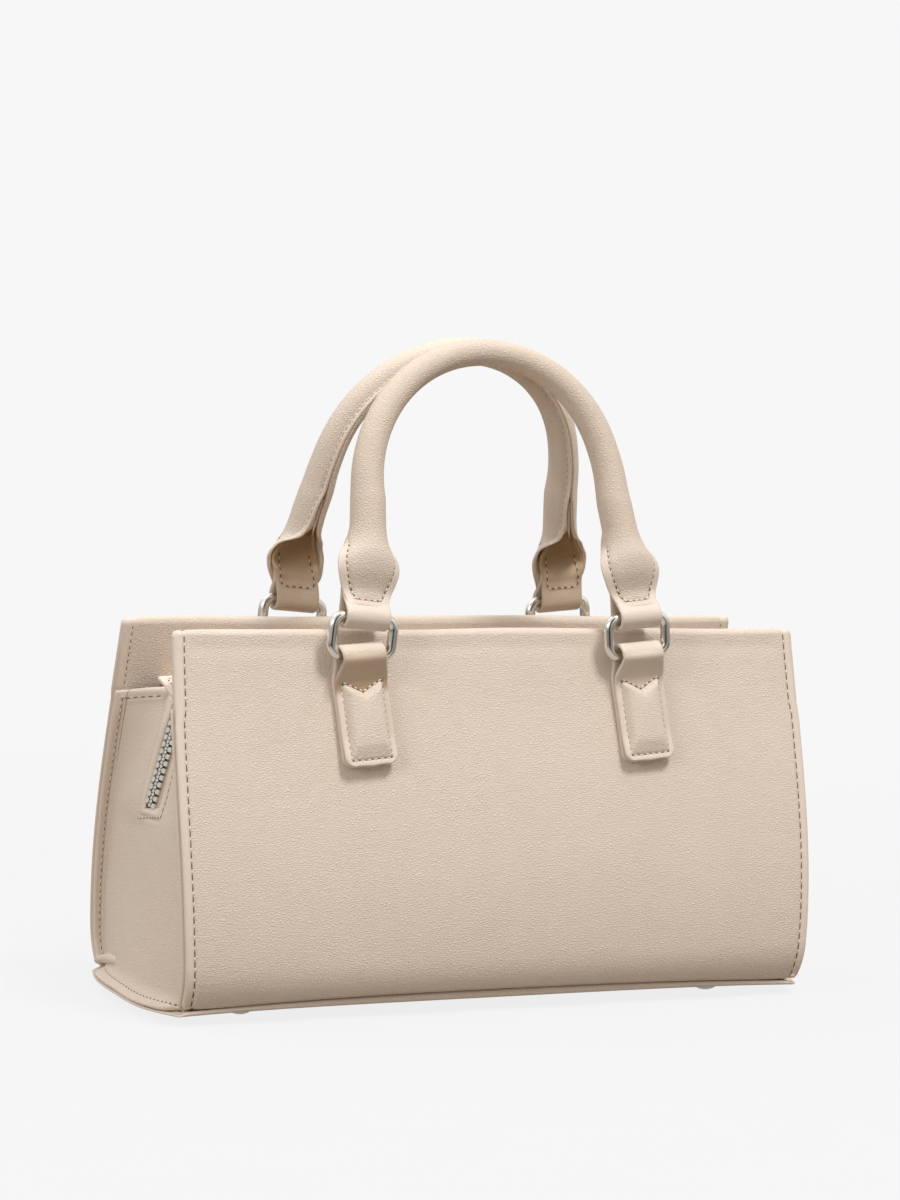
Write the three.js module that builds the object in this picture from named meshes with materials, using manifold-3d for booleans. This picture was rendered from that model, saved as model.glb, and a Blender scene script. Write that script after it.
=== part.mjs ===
// Small structured tote bag with two rolled top handles, four ring links, a recessed zip top
// that runs down into a slot in each folded side gusset, and four metal feet.
// Millimetres, +Z up, front face towards -Y. The origin is on the floor, under the middle.

import * as THREE from 'three';
import { mergeVertices } from 'three/addons/utils/BufferGeometryUtils.js';
import loadManifold from 'manifold-3d';

const wasm = await loadManifold();
wasm.setup();

const { clamp, degToRad, lerp, smoothstep } = THREE.MathUtils;

// Clearance between neighbouring pieces
const GAP = 0.3;

// How far a cutting tool runs past the faces it cuts
const CUT_OVER = 1;

// Body of the bag
const BODY_TOP_Z = 136;
const SEAM_Z = 6.5;
const TOP_WIDTH = 250;
const WIDEST_WIDTH = 252;
const WIDEST_Z = 80;
const BASE_WIDTH = 248;
const TOP_DEPTH = 48.6;
const BELLY_DEPTH = 94.6;
const BELLY_Z = 20;
const BASE_DEPTH = 86;
const PANEL_T = 2.2;
const SEAM_FIN = 4;
const SEAM_CORNER_R = 3.5;

// Side gussets
const GUSSET_T = 1.6;
const GUSSET_EDGE_Z = 109;
const GUSSET_RISE = 4;
const GUSSET_BULGE = 7;
const BULGE_POWER = 1.3;
const BULGE_TOP_Z = 65;
const FOLD_START_Z = 60;
const FOLD_DEPTH = 13;
const FOLD_POWER = 1.4;
const SLOT_BOTTOM_Z = 69;

// Base, board and feet
const BASE_BOTTOM_Z = 3.2;
const BASE_T = 1.8;
const BASE_EDGE_ROUND = 1.2;
const BOARD_T = 2;
const FOOT_END_INSET = 29.5;
const FOOT_SIDE_INSET = 17;
const FOOT_R = 5;
const FOOT_FLAT_R = 1.8;
const SHANK_R = 1.3;
const WASHER_R = 4.5;
const WASHER_T = 0.8;

// Lining and facings
const LINING_T = 0.8;
const FACING_T = 1.2;

// Zip flaps
const STRIP_T = 2;
const STRIP_END_INSET = 4;
const FLAP_SLOPE = degToRad(12);
const HINGE_ABOVE_FACING_EDGE = 2;
const STRIP_TO_ZIP = 4.2;

// Zip chain
const TOOTH_PITCH = 2.6;
const TOOTH_WIDTH = 1.05;
const TOOTH_REACH = 0.9;
const TOOTH_ROOT = 1.9;
const SPINE_WIDTH = 0.9;
const TEETH_T = 3;
const TAPE_T = 0.8;
const TAPE_WIDTH = 6.5;
const CHAIN_END_INSET = 13;
const SLOT_CHAIN_TOP_Z = 111;
const STOP_LENGTH = 2.4;

// Zip slider and pull
const SLIDER_LENGTH = 10;
const SLIDER_PLATE_T = 1;
const SLIDER_LIP = 0.7;
const SLIDER_POST_HALF = 0.8;
const SLIDER_NOSE_HALF = 4;
const SLIDER_CHAMFER = 1;
const BRIDGE_HALF_LENGTH = 3.2;
const BRIDGE_BAR = 1.1;
const BRIDGE_WIDTH = 2.6;
const PULL_T = 1.2;
const PULL_WIDTH = 6.4;
const PULL_LENGTH = 24;
const PULL_TAIL_R = 2.4;
const PULL_EYE_ROOM = 1.2;

// Tabs and rings
const TAB_SPACING_SHARE = 0.448;
const LEATHER_T = 1.5;
const STRAP_WIDTH = 16.2;
const TAB_WIDTH = 20.5;
const TAB_LENGTH = 39;
const TAB_NECK = 9;
const TAB_SHOULDER = 18;
const TAB_CORNER = 3;
const FILLER_T = 1.6;
const FILLER_MARGIN = 4;
const RING_AXIS_Z = 127;
const RING_WIRE = 3.8;
const RING_INNER_WIDTH = 19.6;
const RING_BAR_SPAN = 14.3;
const RING_CORNER_R = 5;
const RING_TILT = degToRad(5);
const RING_PLAY = 0.25;
const LOOP_FACETS = 8;

// Handles
const ARCH_INSET = 4.15;
const LEG_TOP = 45;
const ARCH_RISE = 53;
const TUBE_LEG_D = 12.6;
const TUBE_CROWN_D = 10;
const COVER_T = 1.4;
const COVER_FACETS = 8;
const SEAM_LIP = 2;
const TONGUE_START = 9.3;
const TONGUE_HALF_WIDTH = 8.2;
const TONGUE_CURVE_R = 40;
const ROLL_START = 12;
const ROLL_END = 30;
const LEAF_T = 1.4;
const LEAF_TOP = 20;
const LEAF_TOP_HALF_WIDTH = 4.5;

// Looks
const CREAM = { color: 0xe3d5c6, roughness: 0.55, metalness: 0 };
const CLOTH = { color: 0xcdb898, roughness: 0.9, metalness: 0 };
const NICKEL = { color: 0xc9c7c2, roughness: 0.25, metalness: 1 };
const BOARD = { color: 0x8d8272, roughness: 0.8, metalness: 0 };
const FOAM = { color: 0xd8d2c4, roughness: 0.95, metalness: 0 };

// Sizes that follow from the ones above
const FOOT_X = BASE_WIDTH / 2 - FOOT_END_INSET;
const FOOT_Y = BASE_DEPTH / 2 - FOOT_SIDE_INSET;
const STRIP_HALF_LENGTH = TOP_WIDTH / 2 - STRIP_END_INSET;
const TOP_CHAIN_HALF_LENGTH = STRIP_HALF_LENGTH - CHAIN_END_INSET;
const GUSSET_TOP_Z = GUSSET_EDGE_Z + GUSSET_RISE;
const TAB_X = (TAB_SPACING_SHARE * TOP_WIDTH) / 2;
const LOOP_INNER_R = loopInnerRadius();
const LOOP_MIDDLE_R = LOOP_INNER_R + LEATHER_T / 2;
const TAB_STAND_OFF = LOOP_INNER_R + LEATHER_T + GAP;
const PANEL_LEAN = panelLean(RING_AXIS_Z, RING_AXIS_Z - TAB_LENGTH);
const RING_AXIS_Y = halfDepth(RING_AXIS_Z) + TAB_STAND_OFF / Math.cos(PANEL_LEAN);
const HANDLE_AXIS_Z = RING_AXIS_Z + RING_BAR_SPAN * Math.cos(RING_TILT);
const HANDLE_X = TAB_X - RING_BAR_SPAN * Math.sin(RING_TILT);
const ARCH_HALF_WIDTH = HANDLE_X - ARCH_INSET;
const ARCH_TOP = LEG_TOP + ARCH_RISE;
const CROWN_Y = TUBE_CROWN_D / 2 + SEAM_LIP + GAP / 2;
const HANDLE_LEAN = Math.asin((RING_AXIS_Y - CROWN_Y) / ARCH_TOP);
const LEAF_SPREAD_END = TONGUE_START - GAP;
const TONGUE_SAG = TONGUE_CURVE_R - Math.sqrt(TONGUE_CURVE_R ** 2 - (STRAP_WIDTH / 2) ** 2);
const TONGUE_FRONT = -TONGUE_SAG - COVER_T / 2;
const FACING_BOTTOM_Z = GUSSET_EDGE_Z + GAP;
const HINGE_Z = FACING_BOTTOM_Z + HINGE_ABOVE_FACING_EDGE;
const HINGE_SETBACK = (STRIP_T / 2 + GAP) / Math.cos(panelLean(BODY_TOP_Z, FACING_BOTTOM_Z));
const HINGE_Y = insideDepth(HINGE_Z) - FACING_T - HINGE_SETBACK;
const TEETH_N = -STRIP_T / 2 - GAP - TAPE_T / 2;
const ZIP_T = (HINGE_Y + TEETH_N * Math.sin(FLAP_SLOPE)) / Math.cos(FLAP_SLOPE);
const CHAIN_SINK = GUSSET_T + GAP + TAPE_T / 2;
const PLATE_INNER = TEETH_T / 2 + GAP;
const PLATE_OUTER = PLATE_INNER + SLIDER_PLATE_T;
const OPEN_SPREAD = TOOTH_REACH + SLIDER_POST_HALF + GAP;
const LIP_INNER = OPEN_SPREAD + TOOTH_ROOT + SPINE_WIDTH + GAP;
const SLOT_HALF_WIDTH = LIP_INNER + SLIDER_PLATE_T + GAP;
const TAPE_REACH = LIP_INNER + TAPE_WIDTH;
const LINING_SIDE_INSET = CHAIN_SINK + PLATE_OUTER + GAP;
const BOARD_BOTTOM_Z = BASE_BOTTOM_Z + BASE_T + GAP;
const WASHER_BOTTOM_Z = BOARD_BOTTOM_Z + BOARD_T + GAP;
const LINING_BOTTOM_Z = WASHER_BOTTOM_Z + WASHER_T + GAP;
const LINING_TOP_Z = GUSSET_EDGE_Z - GAP;

// Outer half depth of the bag: leaning panels that swell to a belly and tuck under at the base.
function halfDepth(z) {
  if (z < BELLY_Z) {
    const under = (BELLY_Z - z) / (BELLY_Z - SEAM_Z);
    return BELLY_DEPTH / 2 - ((BELLY_DEPTH - BASE_DEPTH) / 2) * under ** 2;
  }
  const up = (z - BELLY_Z) / (BODY_TOP_Z - BELLY_Z);
  return BELLY_DEPTH / 2 - ((BELLY_DEPTH - TOP_DEPTH) / 2) * (2 * up ** 2 - up ** 3);
}

// Half depth between the inner faces of the panels.
function insideDepth(z) {
  return halfDepth(z) - PANEL_T - GAP;
}

// Lean of the panel between two heights, from the vertical.
function panelLean(upperZ, lowerZ) {
  return Math.atan2(halfDepth(lowerZ) - halfDepth(upperZ), upperZ - lowerZ);
}

// Half width of the panels at their sewn side edges.
function halfWidth(z) {
  const above = z > WIDEST_Z;
  const end = above ? BODY_TOP_Z : SEAM_Z;
  const away = (z - WIDEST_Z) / (end - WIDEST_Z);
  return lerp(WIDEST_WIDTH, above ? TOP_WIDTH : BASE_WIDTH, away ** 2) / 2;
}

// How far the rounded bottom corner draws a side edge in.
function cornerInset(z) {
  const radius = Math.min(SEAM_CORNER_R, SEAM_FIN - 2 * GAP);
  const below = clamp(SEAM_Z + GAP + radius - z, 0, radius);
  return radius - Math.sqrt(radius ** 2 - below ** 2);
}

// Half width that the gusset's web starts from: the panels' own up to the slot, then straight to
// the top, because the zip in the slot is straight.
function webHalfWidth(z) {
  if (z < SLOT_BOTTOM_Z) return halfWidth(z);
  const up = (z - SLOT_BOTTOM_Z) / (GUSSET_TOP_Z - SLOT_BOTTOM_Z);
  return lerp(halfWidth(SLOT_BOTTOM_Z), halfWidth(GUSSET_TOP_Z), up);
}

// Outer surface of the right gusset: bulged at the base, folded inward towards the top.
function gussetX(y, z) {
  const across = Math.min(1, Math.abs(y) / (insideDepth(z) - GUSSET_T));
  const bulge = GUSSET_BULGE * Math.max(0, 1 - (z - SEAM_Z) / (BULGE_TOP_Z - SEAM_Z)) ** BULGE_POWER;
  const fold = FOLD_DEPTH * Math.max(0, (z - FOLD_START_Z) / (GUSSET_TOP_Z - FOLD_START_Z));
  const web = webHalfWidth(z) - SEAM_FIN;
  return web + bulge * (1 - across ** 2) - fold * (1 - across ** FOLD_POWER);
}

// Room inside a strap's loop for the ring's bar, tilted and with its rounded corners.
function loopInnerRadius() {
  const straight = (RING_INNER_WIDTH + RING_WIRE) / 2 - RING_CORNER_R;
  const intoCorner = Math.max(0, STRAP_WIDTH / 2 - straight);
  const cornerRise = RING_CORNER_R - Math.sqrt(RING_CORNER_R ** 2 - intoCorner ** 2);
  const tiltRise = (STRAP_WIDTH / 2) * Math.sin(RING_TILT);
  const room = RING_WIRE / 2 + cornerRise + tiltRise + RING_PLAY + GAP;
  return room / Math.cos(Math.PI / (2 * LOOP_FACETS));
}

// Evenly spaced values from one end to the other.
function steps(from, to, count) {
  return Array.from({ length: count + 1 }, (_, i) => lerp(from, to, i / count));
}

// Closed geometry from corner points and index triples, turned so that its faces point out.
function solidGeometry(points, triangles) {
  const edge = new THREE.Vector3();
  let volume = 0;
  for (const [a, b, c] of triangles) {
    volume += points[a].dot(edge.crossVectors(points[b], points[c]));
  }
  const faces = volume < 0 ? triangles.map(([a, b, c]) => [a, c, b]) : triangles;
  const geometry = new THREE.BufferGeometry().setFromPoints(points);
  geometry.setIndex(faces.flat());
  geometry.computeVertexNormals();
  return geometry;
}

// Sheet with two faces over a grid of columns and rows. face(i, j) gives [outer, inner] points.
// wrap joins the last column to the first, pole closes row 0 to a point, keep drops cells.
function sheet(columns, rows, face, { wrap = false, pole = false, keep = () => true } = {}) {
  const points = [];
  const width = wrap ? columns : columns + 1;
  for (let j = 0; j <= rows; j += 1) {
    for (let i = 0; i < width; i += 1) {
      points.push(...face(i, j));
    }
  }
  const at = (i, j, side) => {
    const column = pole && j === 0 ? 0 : i % width;
    return 2 * (j * width + column) + side;
  };
  const kept = (i, j) => {
    const column = wrap ? (i + columns) % columns : i;
    return column >= 0 && column < columns && j >= 0 && j < rows && keep(column, j);
  };
  const triangles = [];
  const quad = (a, b, c, d) => {
    triangles.push([a, b, c], [a, c, d]);
  };
  const wall = (i, j, k, l) => quad(at(i, j, 0), at(i, j, 1), at(k, l, 1), at(k, l, 0));
  for (let j = 0; j < rows; j += 1) {
    for (let i = 0; i < columns; i += 1) {
      if (!kept(i, j)) continue;
      quad(at(i, j, 0), at(i + 1, j, 0), at(i + 1, j + 1, 0), at(i, j + 1, 0));
      quad(at(i, j, 1), at(i, j + 1, 1), at(i + 1, j + 1, 1), at(i + 1, j, 1));
      if (!kept(i, j - 1) && !(pole && j === 0)) wall(i, j, i + 1, j);
      if (!kept(i, j + 1)) wall(i + 1, j + 1, i, j + 1);
      if (!kept(i - 1, j)) wall(i, j + 1, i, j);
      if (!kept(i + 1, j)) wall(i + 1, j, i + 1, j + 1);
    }
  }
  return solidGeometry(points, triangles.filter(([a, b, c]) => a !== b && b !== c && c !== a));
}

// Skin over a row of rings of points, closed into a loop or capped at both ends.
function loft(rings, { closed = false } = {}) {
  const sides = rings[0].length;
  const count = rings.length;
  const triangles = [];
  for (let j = 0; j < (closed ? count : count - 1); j += 1) {
    const next = (j + 1) % count;
    for (let i = 0; i < sides; i += 1) {
      const turn = (i + 1) % sides;
      const [a, b] = [j * sides + i, j * sides + turn];
      const [c, d] = [next * sides + turn, next * sides + i];
      triangles.push([a, b, c], [a, c, d]);
    }
  }
  for (let i = 1; i < sides - 1 && !closed; i += 1) {
    const last = (count - 1) * sides;
    triangles.push([0, i + 1, i], [last, last + i, last + i + 1]);
  }
  return solidGeometry(rings.flat(), triangles);
}

// Flat outline pushed out along Z, from 0 to depth.
function extrude(outline, depth, holes = []) {
  const shape = new THREE.Shape(outline);
  shape.holes = holes.map((hole) => new THREE.Path(hole));
  return new THREE.ExtrudeGeometry(shape, { depth, bevelEnabled: false, curveSegments: 6 });
}

// Profile of (radius, z) points turned about the Z axis.
function turned(profile, segments) {
  const points = profile.map(([radius, z]) => new THREE.Vector2(radius, z));
  return new THREE.LatheGeometry(points, segments).rotateX(Math.PI / 2);
}

function toManifold(geometry) {
  const bare = geometry.clone();
  bare.deleteAttribute('normal');
  bare.deleteAttribute('uv');
  const merged = mergeVertices(bare, 1e-4);
  return new wasm.Manifold(new wasm.Mesh({
    numProp: 3,
    vertProperties: new Float32Array(merged.attributes.position.array),
    triVerts: new Uint32Array(merged.index.array),
  }));
}

function fromManifold(solid) {
  const mesh = solid.getMesh();
  const geometry = new THREE.BufferGeometry();
  geometry.setAttribute('position', new THREE.BufferAttribute(mesh.vertProperties, 3));
  geometry.setIndex(new THREE.BufferAttribute(mesh.triVerts, 1));
  geometry.computeVertexNormals();
  return geometry;
}

function cut(geometry, tools) {
  const start = toManifold(geometry);
  return fromManifold(tools.reduce((solid, tool) => solid.subtract(toManifold(tool)), start));
}

function addPart(parent, name, geometry, look) {
  const mesh = new THREE.Mesh(geometry, new THREE.MeshStandardMaterial(look));
  mesh.name = name;
  parent.add(mesh);
  return mesh;
}

function turnedGroup(parent, angle) {
  const group = new THREE.Group();
  group.rotation.z = angle;
  parent.add(group);
  return group;
}

// Front panel: one leaning sheet with rounded bottom corners.
function panelGeometry() {
  const bottom = SEAM_Z + GAP;
  const heights = [
    ...steps(bottom, bottom + SEAM_CORNER_R, 3),
    ...steps(bottom + SEAM_CORNER_R, BELLY_Z, 3).slice(1),
    ...steps(BELLY_Z, BODY_TOP_Z, 9).slice(1),
  ];
  return sheet(2, heights.length - 1, (i, j) => {
    const z = heights[j];
    const x = (i - 1) * (halfWidth(z) - cornerInset(z));
    const y = -halfDepth(z);
    return [new THREE.Vector3(x, y, z), new THREE.Vector3(x, y + PANEL_T, z)];
  });
}

// Facing inside the top of the front panel, above the zip.
function facingGeometry() {
  const heights = steps(FACING_BOTTOM_Z, BODY_TOP_Z, 4);
  return sheet(2, heights.length - 1, (i, j) => {
    const z = heights[j];
    const x = (i - 1) * (halfWidth(z) - GAP);
    const y = -insideDepth(z);
    return [new THREE.Vector3(x, y, z), new THREE.Vector3(x, y + FACING_T, z)];
  });
}

// Y of the gusset's columns at one height, from the front fold to the back fold.
function gussetColumns(z) {
  const edge = insideDepth(z) - GUSSET_T;
  const back = steps(SLOT_HALF_WIDTH, edge, 3);
  return [...back.map((y) => -y).reverse(), 0, ...back];
}

// Right gusset: a web between the panels whose edges turn out along them into a sewn fin.
function gussetGeometry() {
  const lower = steps(SEAM_Z + GAP, SLOT_BOTTOM_Z, 7);
  const upperRows = 5;
  const rows = lower.length - 1 + upperRows;
  const webColumns = gussetColumns(SLOT_BOTTOM_Z).length;
  const last = webColumns + 1;
  const middle = Math.floor(last / 2);
  const face = (i, j) => {
    const edge = i === 0 || i === last;
    const column = clamp(i, 1, last - 1) - 1;
    const rise = Math.max(0, (j - lower.length + 1) / upperRows);
    const across = Math.abs(column - middle + 1) / (middle - 1);
    const top = GUSSET_EDGE_Z + GUSSET_RISE * (1 - across ** FOLD_POWER);
    const z = rise > 0 ? lerp(SLOT_BOTTOM_Z, top, rise) : lower[j];
    const y = gussetColumns(z)[column];
    const folded = column === 0 || column === webColumns - 1;
    const x = edge ? halfWidth(z) - cornerInset(z) - GAP : gussetX(y, z);
    const innerX = edge ? x : x - GUSSET_T;
    const innerY = folded ? y + Math.sign(y) * GUSSET_T : y;
    return [new THREE.Vector3(x, y, z), new THREE.Vector3(innerX, innerY, z)];
  };
  const keep = (i, j) => j < lower.length - 1 || (i !== middle - 1 && i !== middle);
  return sheet(last, rows, face, { keep });
}

// Plan of the base: straight long sides and bowed ends.
function basePlan(halfLength, depth, bow) {
  const end = steps(-1, 1, 10);
  const right = end.map((t) => new THREE.Vector2(halfLength + bow * (1 - t ** 2), t * depth));
  return [...right, ...right.map((p) => new THREE.Vector2(-p.x, -p.y))];
}

function footPlaces() {
  return [
    ['front_left', -FOOT_X, -FOOT_Y],
    ['front_right', FOOT_X, -FOOT_Y],
    ['back_left', -FOOT_X, FOOT_Y],
    ['back_right', FOOT_X, FOOT_Y],
  ];
}

// Round holes for the shanks of the feet, through a plate.
function shankHoles(bottom, height) {
  return footPlaces().map(([, x, y]) => {
    const hole = new THREE.CylinderGeometry(SHANK_R + GAP, SHANK_R + GAP, height, 12);
    return hole.rotateX(Math.PI / 2).translate(x, y, bottom + height / 2);
  });
}

// Plan of the space inside the base's lip, which runs under the panels and gussets.
function pocketPlan(inset) {
  const halfLength = halfWidth(SEAM_Z) - SEAM_FIN - GUSSET_T - inset;
  return basePlan(halfLength, insideDepth(SEAM_Z) - inset, GUSSET_BULGE);
}

// Base leather: a shallow tray with a rounded lower edge and a lip that the walls are sewn to.
function baseGeometry() {
  const corner = Math.min(SEAM_CORNER_R, SEAM_FIN - 2 * GAP);
  const ring = (inset, z) => {
    const halfLength = halfWidth(SEAM_Z) - corner - inset;
    const plan = basePlan(halfLength, BASE_DEPTH / 2 - inset, GUSSET_BULGE + corner);
    return plan.map((p) => new THREE.Vector3(p.x, p.y, z));
  };
  const rounding = steps(0, Math.PI / 2, 3).map((turn) => ring(
    BASE_EDGE_ROUND * (1 - Math.sin(turn)),
    BASE_BOTTOM_Z + BASE_EDGE_ROUND * (1 - Math.cos(turn)),
  ));
  const floor = BASE_BOTTOM_Z + BASE_T;
  const pocket = extrude(pocketPlan(0), SEAM_Z - floor + CUT_OVER).translate(0, 0, floor);
  const holes = shankHoles(BASE_BOTTOM_Z - CUT_OVER, BASE_T + 2 * CUT_OVER);
  return cut(loft([...rounding, ring(0, SEAM_Z)]), [pocket, ...holes]);
}

// Stiffening board that lies in the base.
function boardGeometry() {
  const board = extrude(pocketPlan(GAP), BOARD_T).translate(0, 0, BOARD_BOTTOM_Z);
  return cut(board, shankHoles(BOARD_BOTTOM_Z - CUT_OVER, BOARD_T + 2 * CUT_OVER));
}

// Domed foot with a flat tip and a shank that is riveted over a washer.
function footGeometry() {
  const crown = BASE_BOTTOM_Z - GAP;
  const start = Math.asin(FOOT_FLAT_R / FOOT_R);
  const drop = Math.cos(start);
  const dome = steps(start, Math.PI / 2, 4).map((turn) => [
    FOOT_R * Math.sin(turn),
    crown * (1 - Math.cos(turn) / drop),
  ]);
  const shankTop = WASHER_BOTTOM_Z + WASHER_T;
  return turned([[0, 0], ...dome, [SHANK_R, crown], [SHANK_R, shankTop], [0, shankTop]], 14);
}

function washerGeometry() {
  const inner = SHANK_R + GAP;
  const top = WASHER_BOTTOM_Z + WASHER_T;
  const profile = [[inner, WASHER_BOTTOM_Z], [WASHER_R, WASHER_BOTTOM_Z], [WASHER_R, top], [inner, top]];
  return turned([...profile, profile[0]], 12);
}

// Outer side of the lining at the right end: flat behind the zip, then out along the gusset.
function liningX(y, z) {
  const edge = insideDepth(z) - GUSSET_T;
  const beyondTape = Math.max(0, Math.abs(y) - TAPE_REACH) / (edge - TAPE_REACH);
  return gussetX(beyondTape * edge, z) - LINING_SIDE_INSET;
}

// Lining: an open-topped pouch that follows the panels and the folded gussets.
function liningGeometry() {
  const heights = [...steps(LINING_BOTTOM_Z, BELLY_Z, 2), ...steps(BELLY_Z, LINING_TOP_Z, 6).slice(1)];
  const columns = gussetColumns(BELLY_Z).length;
  const wallPoint = (i, z, depth) => {
    const right = i < columns;
    const column = right ? i : 2 * columns - 1 - i;
    const y = gussetColumns(z)[column];
    const end = column === 0 || column === columns - 1;
    const x = liningX(y, z) - depth;
    const wallY = end ? Math.sign(y) * (insideDepth(z) - depth) : y;
    return new THREE.Vector3(right ? x : -x, wallY, z);
  };
  return sheet(2 * columns, heights.length, (i, j) => {
    if (j === 0) {
      const floor = new THREE.Vector3(0, 0, LINING_BOTTOM_Z);
      return [floor, floor.clone().setZ(LINING_BOTTOM_Z + LINING_T)];
    }
    const z = heights[j - 1];
    const inner = wallPoint(i, z, LINING_T);
    inner.z = Math.max(z, LINING_BOTTOM_Z + LINING_T);
    return [wallPoint(i, z, 0), inner];
  }, { wrap: true, pole: true });
}

// Zip strip, in the flap's frame: X along the bag, Y from the hinge to the zip, Z outward.
function stripGeometry() {
  const radius = STRIP_T / 2;
  const edge = ZIP_T - STRIP_TO_ZIP;
  const halfRound = (middle, start) => steps(start, start + Math.PI, 6).map((a) => (
    new THREE.Vector2(middle + radius * Math.cos(a), radius * Math.sin(a))
  ));
  const outline = [...halfRound(0, Math.PI / 2), ...halfRound(edge - radius, -Math.PI / 2)];
  const length = 2 * STRIP_HALF_LENGTH;
  const along = new THREE.Vector3(1, 0, 0);
  const across = new THREE.Vector3(0, 1, 0);
  const out = new THREE.Vector3(0, 0, 1);
  const lay = new THREE.Matrix4().makeBasis(across, out, along);
  return extrude(outline, length).translate(0, 0, -length / 2).applyMatrix4(lay);
}

// One half of the zip's teeth, centred on the zip's middle line at Y 0, with its spine at -Y.
function teethGeometry(count) {
  const spineBack = -TOOTH_ROOT - SPINE_WIDTH;
  const end = ((count - 1) * TOOTH_PITCH + TOOTH_WIDTH) / 2;
  const outline = [new THREE.Vector2(-end, spineBack), new THREE.Vector2(end, spineBack)];
  for (let k = count - 1; k >= 0; k -= 1) {
    const x = (k - (count - 1) / 2) * TOOTH_PITCH;
    const [left, right] = [x - TOOTH_WIDTH / 2, x + TOOTH_WIDTH / 2];
    outline.push(new THREE.Vector2(right, TOOTH_REACH), new THREE.Vector2(left, TOOTH_REACH));
    if (k > 0) outline.push(new THREE.Vector2(left, -TOOTH_ROOT));
    if (k > 0) outline.push(new THREE.Vector2(right - TOOTH_PITCH, -TOOTH_ROOT));
  }
  return extrude(outline, TEETH_T).translate(0, 0, -TEETH_T / 2);
}

function tapeGeometry(length) {
  const edge = -TOOTH_ROOT - SPINE_WIDTH - GAP;
  return new THREE.BoxGeometry(length, TAPE_WIDTH, TAPE_T).translate(0, edge - TAPE_WIDTH / 2, 0);
}

// Zip slider in the slot's frame: X up the slot, Y across, Z outward. Two lipped plates on a
// post that parts the teeth, a narrower nose, and a bridge that holds the pull.
function sliderGeometry() {
  const lipOuter = LIP_INNER + SLIDER_PLATE_T;
  const quarter = [
    [SLIDER_POST_HALF, PLATE_INNER],
    [LIP_INNER, PLATE_INNER],
    [LIP_INNER, SLIDER_LIP],
    [lipOuter, SLIDER_LIP],
    [lipOuter, PLATE_OUTER],
  ];
  const mirrored = (b, n) => quarter.map(([y, z]) => new THREE.Vector2(b * y, n * z));
  const section = [
    ...mirrored(1, 1),
    ...mirrored(-1, 1).reverse(),
    ...mirrored(-1, -1),
    ...mirrored(1, -1).reverse(),
  ];
  const up = new THREE.Vector3(1, 0, 0);
  const across = new THREE.Vector3(0, 1, 0);
  const out = new THREE.Vector3(0, 0, 1);
  const body = extrude(section, SLIDER_LENGTH).translate(0, 0, -SLIDER_LENGTH / 2);
  body.applyMatrix4(new THREE.Matrix4().makeBasis(across, out, up));
  const half = SLIDER_LENGTH / 2;
  const plan = [
    [-half, -lipOuter + SLIDER_CHAMFER], [-half + SLIDER_CHAMFER, -lipOuter], [0, -lipOuter],
    [half, -SLIDER_NOSE_HALF], [half, SLIDER_NOSE_HALF],
    [0, lipOuter], [-half + SLIDER_CHAMFER, lipOuter], [-half, lipOuter - SLIDER_CHAMFER],
  ].map(([x, y]) => new THREE.Vector2(x, y));
  const trim = extrude(plan, 4 * PLATE_OUTER).translate(0, 0, -2 * PLATE_OUTER);
  const solid = toManifold(body).intersect(toManifold(trim));
  return fromManifold(solid.add(toManifold(bridgeGeometry(across, out, up))));
}

// Bridge on the slider's outer plate, an arch with a window for the pull's bar.
function bridgeGeometry(across, out, up) {
  const window = BRIDGE_HALF_LENGTH - BRIDGE_BAR;
  const foot = PLATE_OUTER - SLIDER_PLATE_T / 2;
  const roof = PLATE_OUTER + PULL_T + 2 * GAP;
  const top = roof + BRIDGE_BAR;
  const outline = [
    [-BRIDGE_HALF_LENGTH, foot], [-window, foot], [-window, roof], [window, roof], [window, foot],
    [BRIDGE_HALF_LENGTH, foot], [BRIDGE_HALF_LENGTH, roof], [window, top], [-window, top],
    [-BRIDGE_HALF_LENGTH, roof],
  ].map(([x, z]) => new THREE.Vector2(x, z));
  const arch = extrude(outline, BRIDGE_WIDTH).translate(0, 0, -BRIDGE_WIDTH / 2);
  return arch.applyMatrix4(new THREE.Matrix4().makeBasis(up, out, across.clone().negate()));
}

// Pull in the slider's frame, hanging down the slot from the bar inside the bridge's window.
function pullGeometry() {
  const bar = PULL_T / 2;
  const eye = BRIDGE_WIDTH / 2 + GAP;
  const eyeEnd = -BRIDGE_HALF_LENGTH - PULL_EYE_ROOM;
  const half = PULL_WIDTH / 2;
  const tail = steps(0, Math.PI, 8).map((a) => [
    -PULL_LENGTH + PULL_TAIL_R * (1 - Math.sin(a)),
    -PULL_TAIL_R * Math.cos(a),
  ]);
  const waist = -PULL_LENGTH / 2;
  const outline = [[bar, half], [bar, -half], [waist, -half], ...tail, [waist, half]];
  const hole = [[-bar, eye], [eyeEnd, eye], [eyeEnd, -eye], [-bar, -eye]];
  const flat = (list) => list.map(([x, y]) => new THREE.Vector2(x, y));
  return extrude(flat(outline), PULL_T, [flat(hole)]).translate(0, 0, -PULL_T / 2);
}

// Strip of leather that follows a path of [out, up] points, with a half width at each point.
function strapGeometry(path, halfWidths, thickness) {
  const points = path.map(([out, up]) => new THREE.Vector2(out, up));
  const normals = points.map((p, i) => {
    const before = points[Math.max(0, i - 1)];
    const after = points[Math.min(points.length - 1, i + 1)];
    const along = after.clone().sub(before).normalize();
    return new THREE.Vector2(-along.y, along.x).multiplyScalar(thickness / 2);
  });
  return sheet(2, points.length - 1, (i, j) => {
    const x = (i - 1) * halfWidths[j];
    return [1, -1].map((side) => {
      const p = points[j].clone().addScaledVector(normals[j], side);
      return new THREE.Vector3(x, p.x, p.y);
    });
  });
}

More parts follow.
